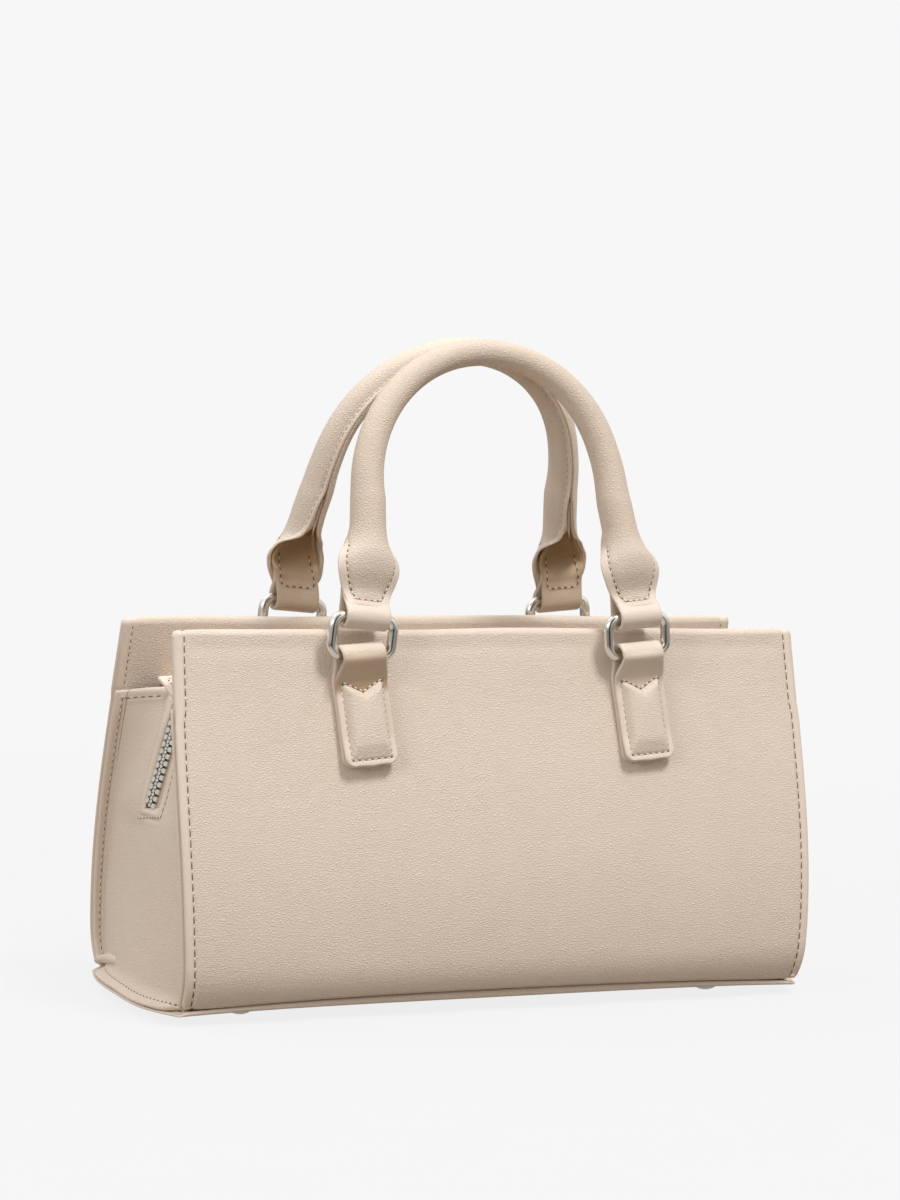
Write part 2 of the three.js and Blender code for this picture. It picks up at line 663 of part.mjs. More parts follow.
// Tab in its own frame: X across, -Y outward, Z up the panel, the ring's bar on the X axis.
// It runs up the panel, over the bar and down again over the filler.
function tabGeometry() {
  const back = LOOP_MIDDLE_R;
  const front = back - LEATHER_T - FILLER_T - 2 * GAP;
  const end = -TAB_LENGTH;
  const corner = steps(0, Math.PI / 2, 2).map((a) => ({
    up: end + TAB_CORNER * (1 - Math.cos(a)),
    half: TAB_WIDTH / 2 - TAB_CORNER * (1 - Math.sin(a)),
  }));
  const path = [];
  const widths = [];
  const add = (out, up, half) => {
    path.push([out, up]);
    widths.push(half);
  };
  corner.forEach(({ up, half }) => add(back, up, half));
  add(back, -TAB_SHOULDER, TAB_WIDTH / 2);
  add(back, -TAB_NECK, STRAP_WIDTH / 2);
  steps(0, Math.PI, LOOP_FACETS).forEach((a) => {
    add(back * Math.cos(a), back * Math.sin(a), STRAP_WIDTH / 2);
  });
  steps(0, 1, 4).slice(1).forEach((t) => {
    add(lerp(-back, front, smoothstep(t, 0, 1)), -TAB_NECK * t, STRAP_WIDTH / 2);
  });
  add(front, -TAB_SHOULDER, TAB_WIDTH / 2);
  corner.slice().reverse().forEach(({ up, half }) => add(front, up, half));
  return strapGeometry(path, widths, LEATHER_T);
}

function fillerGeometry() {
  const height = TAB_LENGTH - (TAB_NECK + TAB_SHOULDER) / 2 - FILLER_MARGIN;
  const width = TAB_WIDTH - 2 * FILLER_MARGIN;
  const middle = LOOP_INNER_R - GAP - FILLER_T / 2;
  return new THREE.BoxGeometry(width, FILLER_T, height)
    .translate(0, middle, -TAB_LENGTH + FILLER_MARGIN + height / 2);
}

// Rounded rectangular ring of round wire, its lower bar on the X axis.
function ringGeometry() {
  const half = (RING_INNER_WIDTH + RING_WIRE) / 2 - RING_CORNER_R;
  const corners = [
    [half, RING_CORNER_R, -Math.PI / 2],
    [half, RING_BAR_SPAN - RING_CORNER_R, 0],
    [-half, RING_BAR_SPAN - RING_CORNER_R, Math.PI / 2],
    [-half, RING_CORNER_R, Math.PI],
  ];
  const section = (x, z, turn) => {
    const out = new THREE.Vector3(Math.cos(turn), 0, Math.sin(turn));
    const middle = out.clone().multiplyScalar(RING_CORNER_R).add(new THREE.Vector3(x, 0, z));
    return steps(0, 2 * Math.PI, 8).slice(1).map((a) => middle.clone()
      .addScaledVector(out, (RING_WIRE / 2) * Math.cos(a))
      .add(new THREE.Vector3(0, (RING_WIRE / 2) * Math.sin(a), 0)));
  };
  const sections = corners.flatMap(([x, z, start]) => (
    steps(start, start + Math.PI / 2, 4).map((turn) => section(x, z, turn))
  ));
  return loft(sections, { closed: true });
}

// Middle line of a handle in its own plane, from the left end over the arch to the right end.
// Each point holds its place, its direction along the line and its height above the ring's bar.
function handleLine(start, legSteps, archSteps) {
  const legX = (up) => lerp(HANDLE_X, ARCH_HALF_WIDTH, up / LEG_TOP);
  const leg = steps(start, LEG_TOP, legSteps).slice(0, -1);
  const lean = (HANDLE_X - ARCH_HALF_WIDTH) / LEG_TOP;
  const left = leg.map((up) => ({ x: -legX(up), up, along: new THREE.Vector2(lean, 1).normalize() }));
  const right = leg.slice().reverse().map((up) => ({
    x: legX(up), up, along: new THREE.Vector2(lean, -1).normalize(),
  }));
  const arch = steps(0, Math.PI, archSteps).map((a) => ({
    x: -ARCH_HALF_WIDTH * Math.cos(a),
    up: LEG_TOP + ARCH_RISE * Math.sin(a),
    along: new THREE.Vector2(ARCH_HALF_WIDTH * Math.sin(a), ARCH_RISE * Math.cos(a)).normalize(),
  }));
  return [...left, ...arch, ...right];
}

// Middle radius of the rolled cover: thicker in the legs than at the crown.
function coverRadius(up) {
  const rise = clamp((up - LEG_TOP) / ARCH_RISE, 0, 1);
  return (lerp(TUBE_LEG_D, TUBE_CROWN_D, rise) - COVER_T) / 2;
}

// Handle cover: a strip rolled into a tube with a raised seam on its inner side. At each end it
// unrolls into a flat tongue.
function coverGeometry() {
  const line = handleLine(TONGUE_START, 7, 14);
  const arcPoints = COVER_FACETS + 1;
  const last = arcPoints + 1;
  const face = (i, j) => {
    const { x, up, along } = line[j];
    const radius = coverRadius(up);
    const rolled = smoothstep(up, ROLL_START, ROLL_END);
    const unrolled = clamp((up - TONGUE_START) / (ROLL_END - TONGUE_START), 0, 1);
    const seamAngle = Math.PI - Math.asin((COVER_T / 2 + GAP / 2) / radius);
    const reach = lerp(TONGUE_HALF_WIDTH, radius * seamAngle, unrolled);
    const curve = lerp(1 / TONGUE_CURVE_R, 1 / radius, rolled);
    const front = lerp(TONGUE_FRONT, -radius, rolled);
    const lip = i === 0 || i === last;
    const place = (clamp(i, 1, arcPoints) - 1) / (arcPoints - 1) * 2 - 1;
    const angle = curve * reach * place;
    const side = Math.sign(place) || 1;
    const middle = new THREE.Vector2(Math.sin(angle) / curve, front + (1 - Math.cos(angle)) / curve);
    const normal = new THREE.Vector2(Math.sin(angle), -Math.cos(angle));
    const edge = i <= 1 || i >= arcPoints;
    const tip = new THREE.Vector2(side * Math.cos(angle), Math.abs(Math.sin(angle)));
    tip.lerp(new THREE.Vector2(0, 1), rolled).normalize();
    const tipNormal = new THREE.Vector2(side * tip.y, -side * tip.x);
    if (edge) {
      const bend = normal.clone().add(tipNormal).normalize();
      const spread = 1 / Math.max(0.6, bend.dot(normal));
      normal.copy(lip ? tipNormal : bend.multiplyScalar(spread));
    }
    if (lip) middle.addScaledVector(tip, lerp(GAP, SEAM_LIP, rolled));
    return [1, -1].map((skin) => {
      const p = middle.clone().addScaledVector(normal, (skin * COVER_T) / 2);
      return new THREE.Vector3(x + along.y * p.x, p.y, up - along.x * p.x);
    });
  };
  return sheet(last, line.length - 1, face);
}

// Cord core inside the rolled part of a handle.
function coreGeometry() {
  const line = handleLine(ROLL_END, 2, 14);
  return loft(line.map(({ x, up, along }) => {
    const radius = (coverRadius(up) - COVER_T / 2) * Math.cos(Math.PI / COVER_FACETS) - GAP;
    return steps(0, 2 * Math.PI, 8).slice(1).map((a) => new THREE.Vector3(
      x + along.y * radius * Math.cos(a),
      radius * Math.sin(a),
      up - along.x * radius * Math.cos(a),
    ));
  }));
}

// End loop of a handle: a strap whose two leaves lie in the handle's tongue and pass round the ring.
function loopGeometry() {
  const outerLeaf = GAP + LEAF_T / 2;
  const innerLeaf = outerLeaf + LEAF_T + GAP;
  const path = [];
  const widths = [];
  const add = (out, up, half) => {
    path.push([out, up]);
    widths.push(half);
  };
  const loopHalf = STRAP_WIDTH / 2;
  const leafWidth = (up) => lerp(loopHalf, LEAF_TOP_HALF_WIDTH,
    clamp((up - ROLL_START) / (LEAF_TOP - ROLL_START), 0, 1) ** 2);
  const leaf = steps(LEAF_TOP, ROLL_START, 2);
  const middleR = LOOP_INNER_R + LEAF_T / 2;
  leaf.forEach((up) => add(outerLeaf, up, leafWidth(up)));
  steps(1, 0, 4).slice(0, -1).forEach((t) => {
    add(lerp(-middleR, outerLeaf, smoothstep(t, 0, 1)), LEAF_SPREAD_END * t, loopHalf);
  });
  steps(Math.PI, 2 * Math.PI, LOOP_FACETS).forEach((a) => {
    add(middleR * Math.cos(a), middleR * Math.sin(a), loopHalf);
  });
  steps(0, 1, 4).slice(1).forEach((t) => {
    add(lerp(middleR, innerLeaf, smoothstep(t, 0, 1)), LEAF_SPREAD_END * t, loopHalf);
  });
  leaf.slice().reverse().forEach((up) => add(innerLeaf, up, leafWidth(up)));
  return strapGeometry(path, widths, LEAF_T);
}

// Pieces of one face, built as the front. The back is the same set turned half round.
function addFace(bag, face) {
  const group = turnedGroup(bag, face === 'back' ? Math.PI : 0);
  addPart(group, `${face}_panel`, panelGeometry(), CREAM);
  addPart(group, `${face}_facing`, facingGeometry(), CREAM);

  const flap = new THREE.Group();
  flap.position.set(0, -HINGE_Y, HINGE_Z);
  flap.rotation.x = FLAP_SLOPE;
  group.add(flap);
  const mostTeeth = Math.floor((2 * TOP_CHAIN_HALF_LENGTH) / TOOTH_PITCH);
  const teethCount = face === 'back' ? mostTeeth - 1 : mostTeeth;
  addPart(flap, `${face}_zip_strip`, stripGeometry(), CREAM);
  const tape = addPart(flap, `${face}_zip_tape`, tapeGeometry(2 * TOP_CHAIN_HALF_LENGTH), CLOTH);
  const teeth = addPart(flap, `${face}_zip_teeth`, teethGeometry(teethCount), NICKEL);
  tape.position.set(0, ZIP_T, TEETH_N);
  teeth.position.set(0, ZIP_T, TEETH_N);

  const handle = new THREE.Group();
  handle.position.set(0, -RING_AXIS_Y, HANDLE_AXIS_Z);
  handle.rotation.x = -HANDLE_LEAN;
  group.add(handle);
  addPart(handle, `${face}_handle_cover`, coverGeometry(), CREAM);
  addPart(handle, `${face}_handle_core`, coreGeometry(), FOAM);

  for (const side of [-1, 1]) {
    const hand = (side < 0) === (face === 'front') ? 'left' : 'right';
    const tab = new THREE.Group();
    tab.position.set(side * TAB_X, -RING_AXIS_Y, RING_AXIS_Z);
    tab.rotation.x = -PANEL_LEAN;
    group.add(tab);
    addPart(tab, `${face}_${hand}_tab`, tabGeometry(), CREAM);
    addPart(tab, `${face}_${hand}_tab_filler`, fillerGeometry(), FOAM);
    const ring = addPart(group, `${face}_${hand}_ring`, ringGeometry(), NICKEL);
    ring.position.set(side * TAB_X, -RING_AXIS_Y, RING_AXIS_Z);
    ring.rotation.y = -side * RING_TILT;
    const loop = addPart(handle, `${face}_${hand}_handle_loop`, loopGeometry(), CREAM);
    loop.position.set(side * HANDLE_X, 0, 0);
    loop.rotation.y = -side * RING_TILT;
  }
}

// Slot line of the right gusset: where the zip lies behind the leather, and its way up.
function slotLine() {
  const bottomZ = SLOT_BOTTOM_Z + GAP;
  const bottom = new THREE.Vector3(gussetX(0, bottomZ) - CHAIN_SINK, 0, bottomZ);
  const top = new THREE.Vector3(gussetX(0, SLOT_CHAIN_TOP_Z) - CHAIN_SINK, 0, SLOT_CHAIN_TOP_Z);
  const up = top.clone().sub(bottom);
  const length = up.length();
  return { bottom, up: up.normalize(), length };
}

// Pieces of one end, built as the right end. The left end is the same set turned half round,
// with its teeth meshed. At the right end they stand apart below the slider.
function addEnd(bag, hand) {
  const group = turnedGroup(bag, hand === 'left' ? Math.PI : 0);
  addPart(group, `${hand}_gusset`, gussetGeometry(), CREAM);

  const { bottom, up, length } = slotLine();
  const across = new THREE.Vector3(0, -1, 0);
  const slot = new THREE.Group();
  slot.position.copy(bottom);
  slot.setRotationFromMatrix(new THREE.Matrix4().makeBasis(up, across, up.clone().cross(across)));
  group.add(slot);

  const open = hand === 'right';
  const toothed = length - STOP_LENGTH - GAP;
  const teethCount = Math.floor((toothed - TOOTH_WIDTH) / TOOTH_PITCH) + 1;
  for (const face of ['front', 'back']) {
    const frontSide = face === 'front';
    const half = new THREE.Group();
    const turn = frontSide === open;
    half.rotation.z = turn ? Math.PI : 0;
    half.position.y = open ? (turn ? 1 : -1) * OPEN_SPREAD : 0;
    slot.add(half);
    const flip = turn ? -1 : 1;
    const count = frontSide ? teethCount : teethCount - 1;
    const middle = STOP_LENGTH + GAP + toothed / 2;
    const tape = addPart(half, `${hand}_${face}_slot_tape`, tapeGeometry(length), CLOTH);
    const teeth = addPart(half, `${hand}_${face}_slot_teeth`, teethGeometry(count), NICKEL);
    tape.position.x = (flip * length) / 2;
    teeth.position.x = flip * middle;
    if (open) {
      const stopWidth = TOOTH_ROOT + SPINE_WIDTH;
      const stop = new THREE.BoxGeometry(STOP_LENGTH, stopWidth, TEETH_T);
      stop.translate((flip * STOP_LENGTH) / 2, -stopWidth / 2, 0);
      addPart(half, `zip_top_stop_${face}`, stop, NICKEL);
    }
  }
  if (open) {
    addSlider(slot, length);
    return;
  }
  const stopWidth = 2 * (TOOTH_ROOT + SPINE_WIDTH);
  const stop = new THREE.BoxGeometry(STOP_LENGTH, stopWidth, TEETH_T).translate(STOP_LENGTH / 2, 0, 0);
  addPart(slot, 'zip_bottom_stop', stop, NICKEL);
}

// Slider parked at the top of the right slot, with its pull hanging down the slot.
function addSlider(slot, length) {
  const parked = length - SLIDER_LENGTH / 2;
  const slider = addPart(slot, 'zip_slider', sliderGeometry(), NICKEL);
  slider.position.x = parked;
  const pull = addPart(slot, 'zip_pull', pullGeometry(), NICKEL);
  pull.position.set(parked, 0, PLATE_OUTER + GAP + PULL_T / 2);
}

function addBase(bag) {
  addPart(bag, 'base_panel', baseGeometry(), CREAM);
  addPart(bag, 'base_board', boardGeometry(), BOARD);
  addPart(bag, 'lining', liningGeometry(), CLOTH);
  for (const [place, x, y] of footPlaces()) {
    addPart(bag, `${place}_foot`, footGeometry(), NICKEL).position.set(x, y, 0);
    addPart(bag, `${place}_foot_washer`, washerGeometry(), NICKEL).position.set(x, y, 0);
  }
}

function buildBag() {
  const bag = new THREE.Group();
  addBase(bag);
  addFace(bag, 'front');
  addFace(bag, 'back');
  addEnd(bag, 'left');
  addEnd(bag, 'right');
  return bag;
}

export default buildBag();
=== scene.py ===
import math

import bpy
import numpy as np
from bpy.props import FloatProperty, FloatVectorProperty, PointerProperty
from mathutils import Matrix, Vector


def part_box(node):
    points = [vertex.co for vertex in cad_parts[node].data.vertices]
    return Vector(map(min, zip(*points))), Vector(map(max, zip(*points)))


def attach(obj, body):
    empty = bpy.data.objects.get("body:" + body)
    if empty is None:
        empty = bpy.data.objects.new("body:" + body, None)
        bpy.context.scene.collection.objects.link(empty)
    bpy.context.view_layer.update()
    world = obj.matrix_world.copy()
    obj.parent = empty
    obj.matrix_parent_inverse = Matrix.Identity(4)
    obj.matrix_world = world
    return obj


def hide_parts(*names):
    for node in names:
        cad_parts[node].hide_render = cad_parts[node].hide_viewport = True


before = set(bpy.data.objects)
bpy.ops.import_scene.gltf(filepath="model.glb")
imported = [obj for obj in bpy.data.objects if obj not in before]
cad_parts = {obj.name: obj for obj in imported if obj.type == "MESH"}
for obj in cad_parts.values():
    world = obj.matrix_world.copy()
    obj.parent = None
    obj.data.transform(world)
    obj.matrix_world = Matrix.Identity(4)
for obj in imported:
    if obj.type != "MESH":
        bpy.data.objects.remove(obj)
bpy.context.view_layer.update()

bl_info = {
    "name": "Leather tote bag",
    "version": (1, 0, 0),
    "blender": (4, 5, 0),
    "location": "3D View > Sidebar > Tote",
    "description": "Dresses the packed tote bag: leather, stitches, zip, rings, handles and a studio",
    "category": "Object",
}

MM = 0.001

# Sizes in millimetres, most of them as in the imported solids
GAP = 0.3
BODY_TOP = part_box("front_panel")[1].z / MM
SEAM_Z = 6.5
BELLY_Z = 20.0
BELLY_HALF = 47.3
BASE_HALF = 43.0
TOP_HALF = 24.3
WIDE_Z = 80.0
WIDE_WIDTH, TOP_WIDTH, SEAM_WIDTH = 252.0, 250.0, 248.0
SOFT_CORNER = 1.8
PANEL_T = 2.2
FACING_T = 1.2
FACING_Z = 109.3
FIN = 4.0
GUSSET_T = 1.6
GUSSET_BULGE, BULGE_POWER, BULGE_END = 7.0, 1.3, 65.0
FOLD, FOLD_START, FOLD_POWER = 13.0, 60.0, 1.4
GUSSET_EDGE_Z, GUSSET_TOP_Z = 109.0, 113.0
SLOT_HALF, SLOT_Z = 6.4, 69.0
BASE_Z = 3.2
BASE_CORNER, BASE_REACH, BASE_SEWN = 124.1, 131.6, 3.6
SAG, SAG_AT = 0.8, (0.45, 0.4)
HINGE_Y, HINGE_Z, FLAP_SLOPE = 24.9832, 111.3, math.radians(12)
STRIP_EDGE, STRIP_T, STRIP_SEWN = 20.98, 2.0, 2.0
STRIP_START, STRIP_END = -121.2, 108.0
ZIP_LINE, ZIP_DROP = 25.18, -1.7
CHAIN_HALF = 108.0
PITCH = 2.6
SLOT_ORIGIN = Vector((117.37, 0, 69.3))
SLOT_UP = Vector((-0.244504, 0, 0.969648))
SLOT_LENGTH = 43.0
SLIDER_AT = 38.0
OPEN_SPREAD = 2.0
TAPE_WIDE, TAPE_NARROW = 9.6, 6.4
RING_X, RING_Y, RING_Z = 56.0, 31.6, 127.0
RING_TILT, PANEL_LEAN, HANDLE_LEAN = math.radians(5), math.radians(14.26), math.radians(14.45)
RING_HALF, RING_SPAN, RING_BEND, WIRE_R = 11.7, 14.3, 4.2, 1.9
HANDLE_X, HANDLE_Z = 54.75, 141.2456
ARCH_HALF, LEG_TOP, ARCH_RISE = 50.6, 45.0, 52.2
LOOP_R, STRAP_R = 4.17, 3.85
TAB_LENGTH, TAB_HALF, STRAP_HALF = 39.0, 10.25, 8.5
LEATHER_T = 1.5
COVER_T, STRAP_SKIN = 1.4, 0.7
TONGUE_UP = 9.3
FOOT_X, FOOT_Y = 94.5, 26.0

# Stitch lengths of the handle seam, the hidden edges and the insides of the handle ends, in strap stitches
SEAM_STITCH, HIDDEN_STITCH, INSIDE_STITCH = 1.06, 1.1, 1.17

# Height in the cloth map that stands for fully shaded leather, and the colour of that shade
FULL_SHADE = 1000.0
PAINTED_SHADE_COLOUR = 0.35, 0.215, 0.095, 1.0

# Floor and camera, in metres
FLOOR_Z, FLOOR_SIDES = -0.0002, 96
CAMERA_AIM = Vector((-0.00675, 0, 0.14899))
CAMERA_SHIFT = 0.00065, -0.01093

HALF_TURN = Matrix.Rotation(math.pi, 4, "Z")

# Lines of stitches that the pieces leave for the stitching operator, by body
stitch_lines = {}


# Small mathematics

def smoothstep(x, low, high):
    t = np.clip((np.asarray(x, float) - low) / (high - low), 0, 1)
    return t * t * (3 - 2 * t)


def lerp(a, b, t):
    return a + (b - a) * t


def unit(v):
    return v / np.maximum(np.linalg.norm(v, axis=-1, keepdims=True), 1e-12)


def stack(x, y, z):
    return np.stack(np.broadcast_arrays(x, y, z), -1).astype(float)


def bell(x, middle, width):
    return np.exp(-((np.asarray(x) - middle) / width) ** 2)


def bowed(x, half, power):
    """One in the middle, falling to nothing at both ends."""
    return 1 - np.minimum(1, np.abs(x) / half) ** power


def ripple(x, phase, size, length):
    """Soft wave along an edge, from two sines."""
    turn = 2 * np.pi * np.asarray(x, float) / length
    return size * (np.sin(turn + phase) + 0.5 * np.sin(1.87 * turn + 2.3 * phase)) / 1.5


def matched(a, b):
    return np.broadcast_arrays(np.asarray(a, float), np.asarray(b, float))


def turned_by(vectors, matrix):
    return vectors @ np.array(matrix)[:3, :3].T


def moved(points, matrix):
    return turned_by(points, matrix) + np.array(matrix)[:3, 3]


def on_face(face, there):
    """Place on the front of the bag, or the same place on its back."""
    return there if face == "front" else HALF_TURN @ there


def steps(start, *spans):
    """Grid lines through spans, each given by its end and its count of lines, both ends included."""
    lines = [np.array([start], float)]
    for end, count in spans:
        lines.append(np.linspace(lines[-1][-1], end, count)[1:])
    return np.concatenate(lines)


def angles(count):
    return np.arange(count) * 2 * np.pi / count


def hoop(radius, height, count):
    """Circle of points round the Z axis."""
    turn = angles(count)
    return stack(radius * np.cos(turn), radius * np.sin(turn), height)


def run_of(path):
    """Distance along a path at each of its points."""
    return np.concatenate([[0], np.cumsum(np.linalg.norm(np.diff(path, axis=0), axis=1))])


def read_at(here, run, path):
    """Points of a path at given distances along it."""
    return np.stack([np.interp(here, run, path[:, k]) for k in range(path.shape[1])], 1)


def evened(loop, count):
    """Closed loop of points in equal steps."""
    closed = np.concatenate([loop, loop[:1]])
    run = run_of(closed)
    return read_at(np.linspace(0, run[-1], count + 1)[:-1], run, closed)


def loop_along(loop):
    """Direction of a closed loop at each of its points."""
    return unit(np.roll(loop, -1, axis=0) - np.roll(loop, 1, axis=0))


# Shape of the bag

def half_depth(z):
    """Half depth of the bag outside, at a height."""
    z = np.asarray(z, float)
    under = (BELLY_Z - z) / (BELLY_Z - SEAM_Z)
    up = (z - BELLY_Z) / (BODY_TOP - BELLY_Z)
    low = BELLY_HALF - (BELLY_HALF - BASE_HALF) * under ** 2
    high = BELLY_HALF - (BELLY_HALF - TOP_HALF) * (2 * up ** 2 - up ** 3)
    return np.where(z < BELLY_Z, low, high)


def inside_depth(z):
    return half_depth(z) - PANEL_T - GAP


def half_width(z):
    """Half width of the panels, at a height."""
    z = np.asarray(z, float)
    high = lerp(WIDE_WIDTH, TOP_WIDTH, ((z - WIDE_Z) / (BODY_TOP - WIDE_Z)) ** 2)
    low = lerp(WIDE_WIDTH, SEAM_WIDTH, ((z - WIDE_Z) / (SEAM_Z - WIDE_Z)) ** 2)
    return np.where(z > WIDE_Z, high, low) / 2


def corner_inset(z):
    """How far the panels' soft lower corners draw in."""
    below = np.clip(7.4 - np.asarray(z, float), 0, SOFT_CORNER)
    return SOFT_CORNER - np.sqrt(SOFT_CORNER ** 2 - below ** 2)


def web_half_width(z):
    """Half width that the gussets follow, straight above the foot of the slot."""
    z = np.asarray(z, float)
    low, high = half_width(SLOT_Z), half_width(GUSSET_TOP_Z)
    straight = lerp(low, high, (z - SLOT_Z) / (GUSSET_TOP_Z - SLOT_Z))
    return np.where(z < SLOT_Z, half_width(z), straight)


def gusset_x(y, z):
    """Outside of the right gusset, bulged below and folded in above."""
    across = np.minimum(1, np.abs(y) / (inside_depth(z) - GUSSET_T))
    rise = np.clip(1 - (z - SEAM_Z) / (BULGE_END - SEAM_Z), 0, None)
    bulge = GUSSET_BULGE * rise ** BULGE_POWER
    fold = FOLD * np.clip((z - FOLD_START) / (GUSSET_TOP_Z - FOLD_START), 0, None)
    return (web_half_width(z) - FIN + bulge * (1 - across ** 2)
            - fold * (1 - across ** FOLD_POWER))


def side_lip(x):
    """Height of the base's seam along the long sides, which bows up in the middle."""
    return 4.9 + 2.7 * bowed(x, 124, 2.5)


def end_lip(y):
    """Height of the base's seam along the ends."""
    return 4.1 + 0.2 * bowed(y, BASE_HALF, 2)


def base_end(y):
    """How far the bowed ends of the base reach out."""
    return BASE_CORNER + (BASE_REACH - BASE_CORNER) * bowed(y, BASE_HALF, 2.5)


# Meshes

def shell(outer, inner, keep=None, rim=4, press=None, uv=None, edge_shade=0.0):
    """Closed skin over two matching grids, with a round rim along every open edge."""
    rows, cols = outer.shape[:2]
    if keep is None:
        keep = np.ones((rows - 1, cols - 1), bool)
    size = rows * cols
    index = np.arange(size).reshape(rows, cols)
    i, j = np.nonzero(keep)
    corners = np.stack([index[i, j], index[i + 1, j], index[i + 1, j + 1], index[i, j + 1]], 1)
    faces = [corners, corners[:, ::-1] + size]
    middle = ((outer + inner) / 2).reshape(-1, 3)
    reach = ((outer - inner) / 2).reshape(-1, 3)
    away = np.zeros((size, 3))
    around = np.pad(keep, 1)
    edges = []
    sides = (((0, -1), (0, 1), (3, 2)), ((1, 0), (1, 2), (0, 3)),
             ((0, 1), (2, 3), (1, 0)), ((-1, 0), (3, 0), (2, 1)))
    for (di, dj), (p, q), (p_in, q_in) in sides:
        open_cells = corners[~around[i + 1 + di, j + 1 + dj]]
        for corner, opposite in ((p, p_in), (q, q_in)):
            step = unit(middle[open_cells[:, corner]] - middle[open_cells[:, opposite]])
            np.add.at(away, open_cells[:, corner], step)
        edges.append(open_cells[:, [p, q]])
    edges = np.concatenate(edges)
    used = np.unique(edges)
    out = unit(away[used])
    half = np.linalg.norm(reach[used], axis=1)
    turn = np.pi * np.arange(1, rim) / rim
    rim_points = (middle[used][:, None] + reach[used][:, None] * np.cos(turn)[None, :, None]
                  + out[:, None] * half[:, None, None] * np.sin(turn)[None, :, None])
    first = np.zeros(size, int)
    first[used] = 2 * size + np.arange(len(used)) * (rim - 1)

    def chain(v):
        return np.concatenate([v[:, None], first[v][:, None] + np.arange(rim - 1), v[:, None] + size], 1)

    p, q = chain(edges[:, 0]), chain(edges[:, 1])
    for k in range(rim):
        faces.append(np.stack([q[:, k], p[:, k], p[:, k + 1], q[:, k + 1]], 1))
    faces = np.concatenate(faces)
    points = np.concatenate([outer.reshape(-1, 3), inner.reshape(-1, 3), rim_points.reshape(-1, 3)])

    def spread(values):
        flat = np.asarray(values, float).reshape(size, -1)
        return np.concatenate([flat, flat, np.repeat(flat[used], rim - 1, axis=0)])

    press = spread(np.zeros(size) if press is None else press)[:, 0]
    uv = spread(np.zeros((size, 2)) if uv is None else uv)
    # Painted shade on the inner half of each rim, where it turns away into a seam's gap; edge_shade sets how dark
    shade_at = np.broadcast_to(edge_shade, (rows, cols)).ravel()[used]
    uv[2 * size:, 1] += FULL_SHADE * np.outer(shade_at, smoothstep(turn, 1.2, 2.4)).ravel()
    kept, renumbered = np.unique(faces, return_inverse=True)
    return points[kept], renumbered.reshape(faces.shape), press[kept], uv[kept]


def shade_map(share):
    """Cloth map that paints shade on a part of the leather."""
    return stack(0, FULL_SHADE * share, 0)[..., :2]


def loft(rings, cap=True):
    """Closed skin over a list of rings of points, capped at both ends."""
    rings = np.asarray(rings, float)
    rows, cols = rings.shape[:2]
    index = np.arange(rows * cols).reshape(rows, cols)
    after = np.roll(index, -1, axis=1)
    quads = np.stack([index[:-1], after[:-1], after[1:], index[1:]], -1).reshape(-1, 4)
    faces = quads.tolist()
    if cap:
        faces += [index[0, ::-1].tolist(), index[-1].tolist()]
    return rings.reshape(-1, 3), faces, None, None


def closed_loft(rings):
    """Skin over rings of points, joined from the last ring back to the first."""
    points, faces, _, _ = loft([*rings, rings[0]], cap=False)
    count = len(points) - len(rings[0])
    return points[:count], [[v % count for v in face] for face in faces], None, None


def tube(path, radius, sides=12, closed=False):
    """Round bar along a path of points. Its ends are domed when the path is open."""
    path = np.asarray(path, float)
    along = loop_along(path) if closed else unit(np.gradient(path, axis=0))
    radii = np.broadcast_to(np.asarray(radius, float), len(path))
    side = np.cross(along[0], [0, 0, 1.0])
    if np.linalg.norm(side) < 0.1:
        side = np.cross(along[0], [0, 1.0, 0])
    side = unit(side)
    turn = angles(sides)
    rings = []
    for k in range(len(path)):
        side = unit(side - along[k] * np.dot(side, along[k]))
        other = np.cross(along[k], side)
        round_ = np.cos(turn)[:, None] * side + np.sin(turn)[:, None] * other
        if not closed and k == 0:
            for a in (0.15, 0.6):
                rings.append(path[0] - along[0] * radii[0] * math.cos(a) + round_ * radii[0] * math.sin(a))
        rings.append(path[k] + round_ * radii[k])
        if not closed and k == len(path) - 1:
            for a in (0.6, 0.15):
                rings.append(path[k] + along[k] * radii[k] * math.cos(a) + round_ * radii[k] * math.sin(a))
    return closed_loft(rings) if closed else loft(rings)


def turned(profile, segments=32):
    """Round solid from (radius, height) points, closed on its axis."""
    return loft([hoop(max(r, 1e-3), h, segments) for r, h in profile])


def add_object(name, data):
    made = bpy.data.objects.new(name, data)
    bpy.context.scene.collection.objects.link(made)
    return made


def evaluated_mesh(holder):
    return bpy.data.meshes.new_from_object(holder.evaluated_get(bpy.context.evaluated_depsgraph_get()))


def smoothed(mesh, flat_angle):
    mesh.polygons.foreach_set("use_smooth", np.ones(len(mesh.polygons), bool))
    if flat_angle is not None:
        mesh.set_sharp_from_angle(angle=math.radians(flat_angle))


